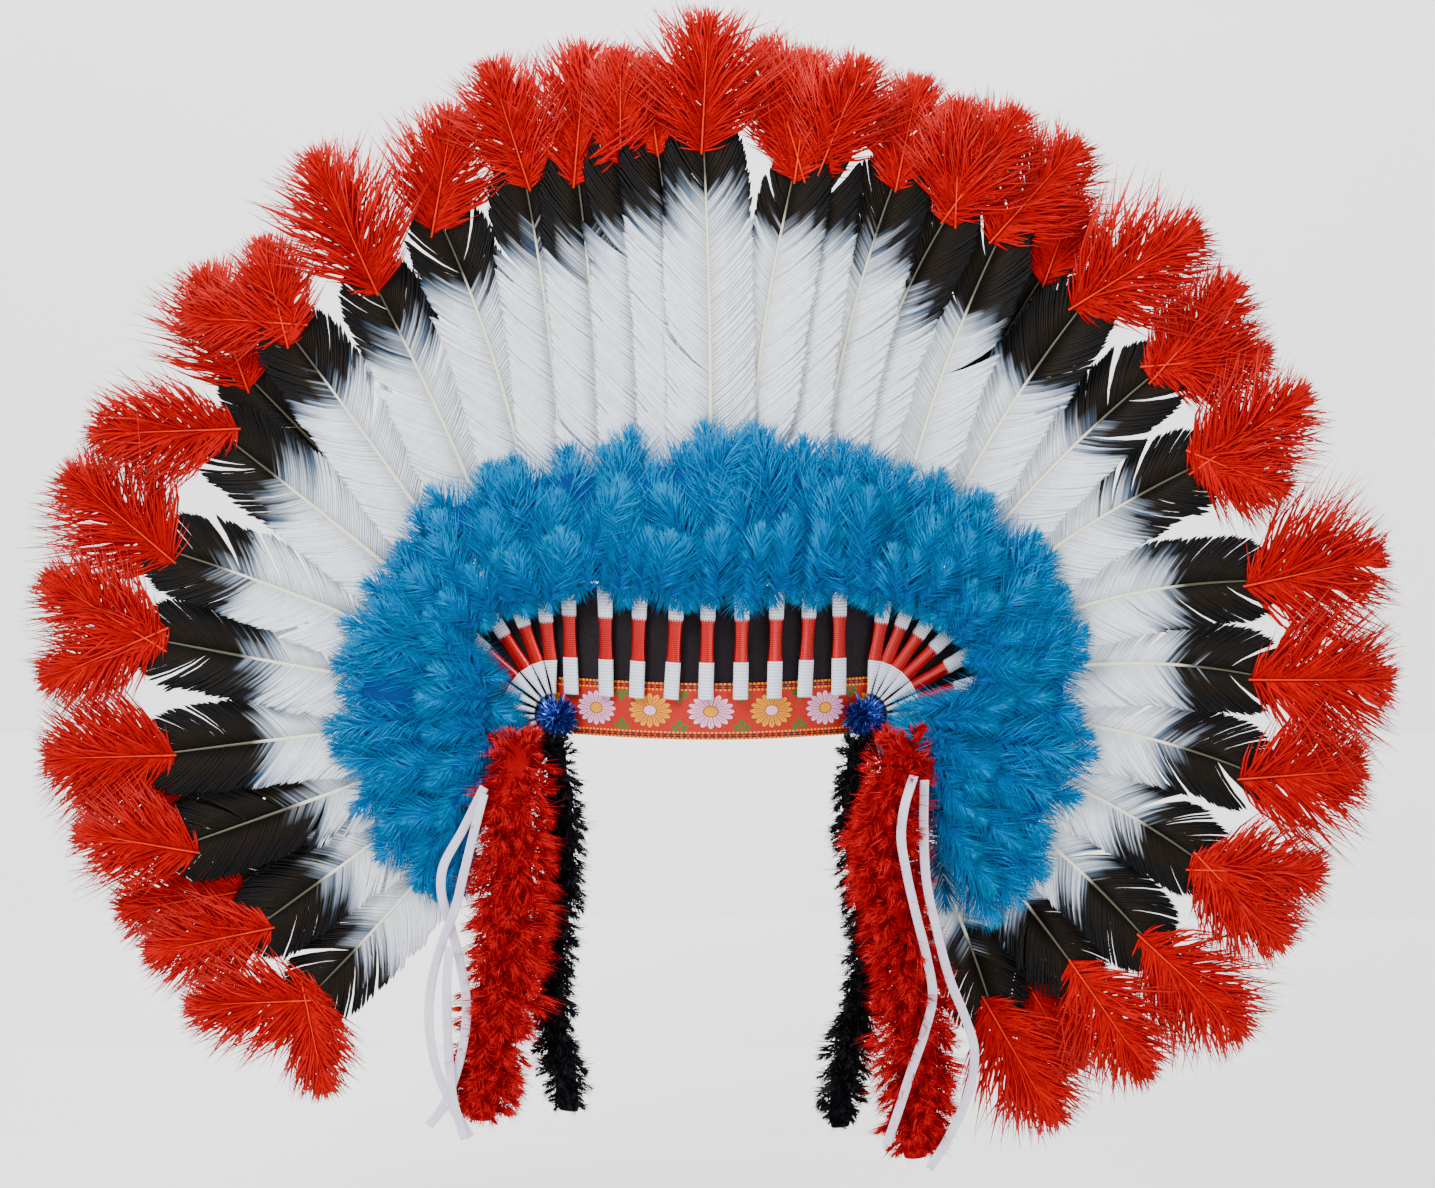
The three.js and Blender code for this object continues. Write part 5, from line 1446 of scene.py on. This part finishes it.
for node, row in TIES.items():
    route, tie_length = smooth_route(tie_route(*row), TIE_STEPS)
    tangent = unit(np.gradient(route, axis=0))
    right = unit(np.stack([tangent[:, 2], np.zeros(len(route)), -tangent[:, 0]], axis=-1))
    out = unit(np.cross(right, tangent))
    twist = TIE_TWIST * np.sin(np.linspace(0, 9, TIE_STEPS) + len(node))[:, None]
    turned = right * np.cos(twist) + out * np.sin(twist)
    front = out * np.cos(twist) - right * np.sin(twist)
    rings = (route[:, None] + turned[:, None] * TIE_SECTION[None, :, :1] * TIE_WIDTH / 2
             + front[:, None] * TIE_SECTION[None, :, 1:] * TIE_THICKNESS * TIE_FULLNESS)
    points, faces = tube_points(rings)
    tie_u = np.repeat(np.linspace(0, tie_length * TIE_UV_SCALE, TIE_STEPS), len(TIE_SECTION))
    tie_uv = np.stack([tie_u, np.tile(TIE_SECTION[:, 0], TIE_STEPS)], axis=-1)
    tie_uv = np.concatenate([tie_uv, [[0, 0], [tie_length * TIE_UV_SCALE, 0]]])
    piece = add_mesh(node + "_satin", points, faces, [satin_material], node, uv=tie_uv)
    print(node, "length, m:", round(float(tie_length), 4))

# %% [markdown]
# The stage is a white sweep, as in a catalogue picture: a floor that curves up into a wall, so that no
# horizon shows behind the feathers. Its back is see-through, so that a camera behind it still sees the
# headdress. The light is soft and comes from all round, with a broad key from the upper left.

# %% Stage and light
FLOOR = -0.30
STAGE_REACH = 7.0
sweep = np.array([(-STAGE_REACH, FLOOR), (0.45, FLOOR), (0.62, FLOOR + 0.03), (0.74, FLOOR + 0.10),
                  (0.80, FLOOR + 0.22), (0.82, 2.2)])
sweep_rows = [np.insert(sweep, 0, x, axis=1) for x in (-STAGE_REACH, STAGE_REACH)]
stage_mesh = bpy.data.meshes.new("sweep")
sweep_faces = grid_faces(2, len(sweep), closed=False)[:, ::-1]
stage_mesh.from_pydata(np.concatenate(sweep_rows).tolist(), [], sweep_faces.tolist())
stage = bpy.data.objects.new("sweep", stage_mesh)
bpy.context.scene.collection.objects.link(stage)
stage_material, stage_shader = new_material("white sweep", roughness=0.9, specular=0.1)
stage_shader.inputs["Base Color"].default_value = (0.95, 0.95, 0.95, 1)
stage_nodes, stage_links = stage_material.node_tree.nodes, stage_material.node_tree.links
which_side = stage_nodes.new("ShaderNodeNewGeometry")
see_through = stage_nodes.new("ShaderNodeBsdfTransparent")
one_sided = stage_nodes.new("ShaderNodeMixShader")
stage_links.new(which_side.outputs["Backfacing"], one_sided.inputs["Fac"])
stage_links.new(stage_shader.outputs["BSDF"], one_sided.inputs[1])
stage_links.new(see_through.outputs["BSDF"], one_sided.inputs[2])
stage_links.new(one_sided.outputs["Shader"], stage_nodes["Material Output"].inputs["Surface"])
stage_mesh.materials.append(stage_material)


def area_light(name, place_at, target, size, power):
    """A square soft light that looks at a point."""
    data = bpy.data.lights.new(name, "AREA")
    data.size = size
    data.energy = power
    lamp = bpy.data.objects.new(name, data)
    lamp.location = place_at
    lamp.rotation_euler = (Vector(target) - Vector(place_at)).to_track_quat("-Z", "Y").to_euler()
    lamp.visible_camera = False
    bpy.context.scene.collection.objects.link(lamp)


FAN_MIDDLE = (0, 0, 0.08)
WALL_FOOT = (0, 0.78, 0.1)
area_light("key", (-1.2, -1.9, 1.7), FAN_MIDDLE, size=1.1, power=82)
area_light("fill", (1.6, -1.8, 0.5), FAN_MIDDLE, size=1.6, power=24)
area_light("backdrop", (0, 0.25, 1.35), WALL_FOOT, size=1.0, power=30)
world = bpy.data.worlds.new("white room")
world.use_nodes = True
world.node_tree.nodes["Background"].inputs["Color"].default_value = (1, 1, 1, 1)
world.node_tree.nodes["Background"].inputs["Strength"].default_value = 0.62
bpy.context.scene.world = world
print("lights:", [light.name for light in bpy.data.lights])

# %% [markdown]
# The camera stands as the photograph was taken: nearly level with the band, far off, with a long lens. The
# frame is 1435 by 1188 pixels at 0.54 mm a pixel, which gives the width that the lens must cover at that
# distance.

# %% Camera
PIXEL = 0.54 * MM
PHOTO_WIDTH, PHOTO_HEIGHT = 1435, 1188
CENTRE_PIXEL = (711, 728)
ELEVATION = 4
DISTANCE = 3.2
SENSOR_WIDTH = 36
TARGET_DEPTH = -30 * MM
target_x = (PHOTO_WIDTH / 2 - CENTRE_PIXEL[0]) * PIXEL
target_z = (CENTRE_PIXEL[1] - PHOTO_HEIGHT / 2) * PIXEL
target = np.array([target_x, TARGET_DEPTH, target_z])
rise = np.radians(ELEVATION)
camera_data = bpy.data.cameras.new("camera")
camera_data.sensor_width = SENSOR_WIDTH
camera_data.lens = SENSOR_WIDTH * DISTANCE / (PHOTO_WIDTH * PIXEL)
camera = bpy.data.objects.new("camera", camera_data)
camera.location = target + DISTANCE * np.array([0, -np.cos(rise), np.sin(rise)])
camera.rotation_euler = (np.pi / 2 - rise, 0, 0)
bpy.context.scene.collection.objects.link(camera)
bpy.context.scene.camera = camera
print("lens, mm:", round(camera_data.lens, 1))
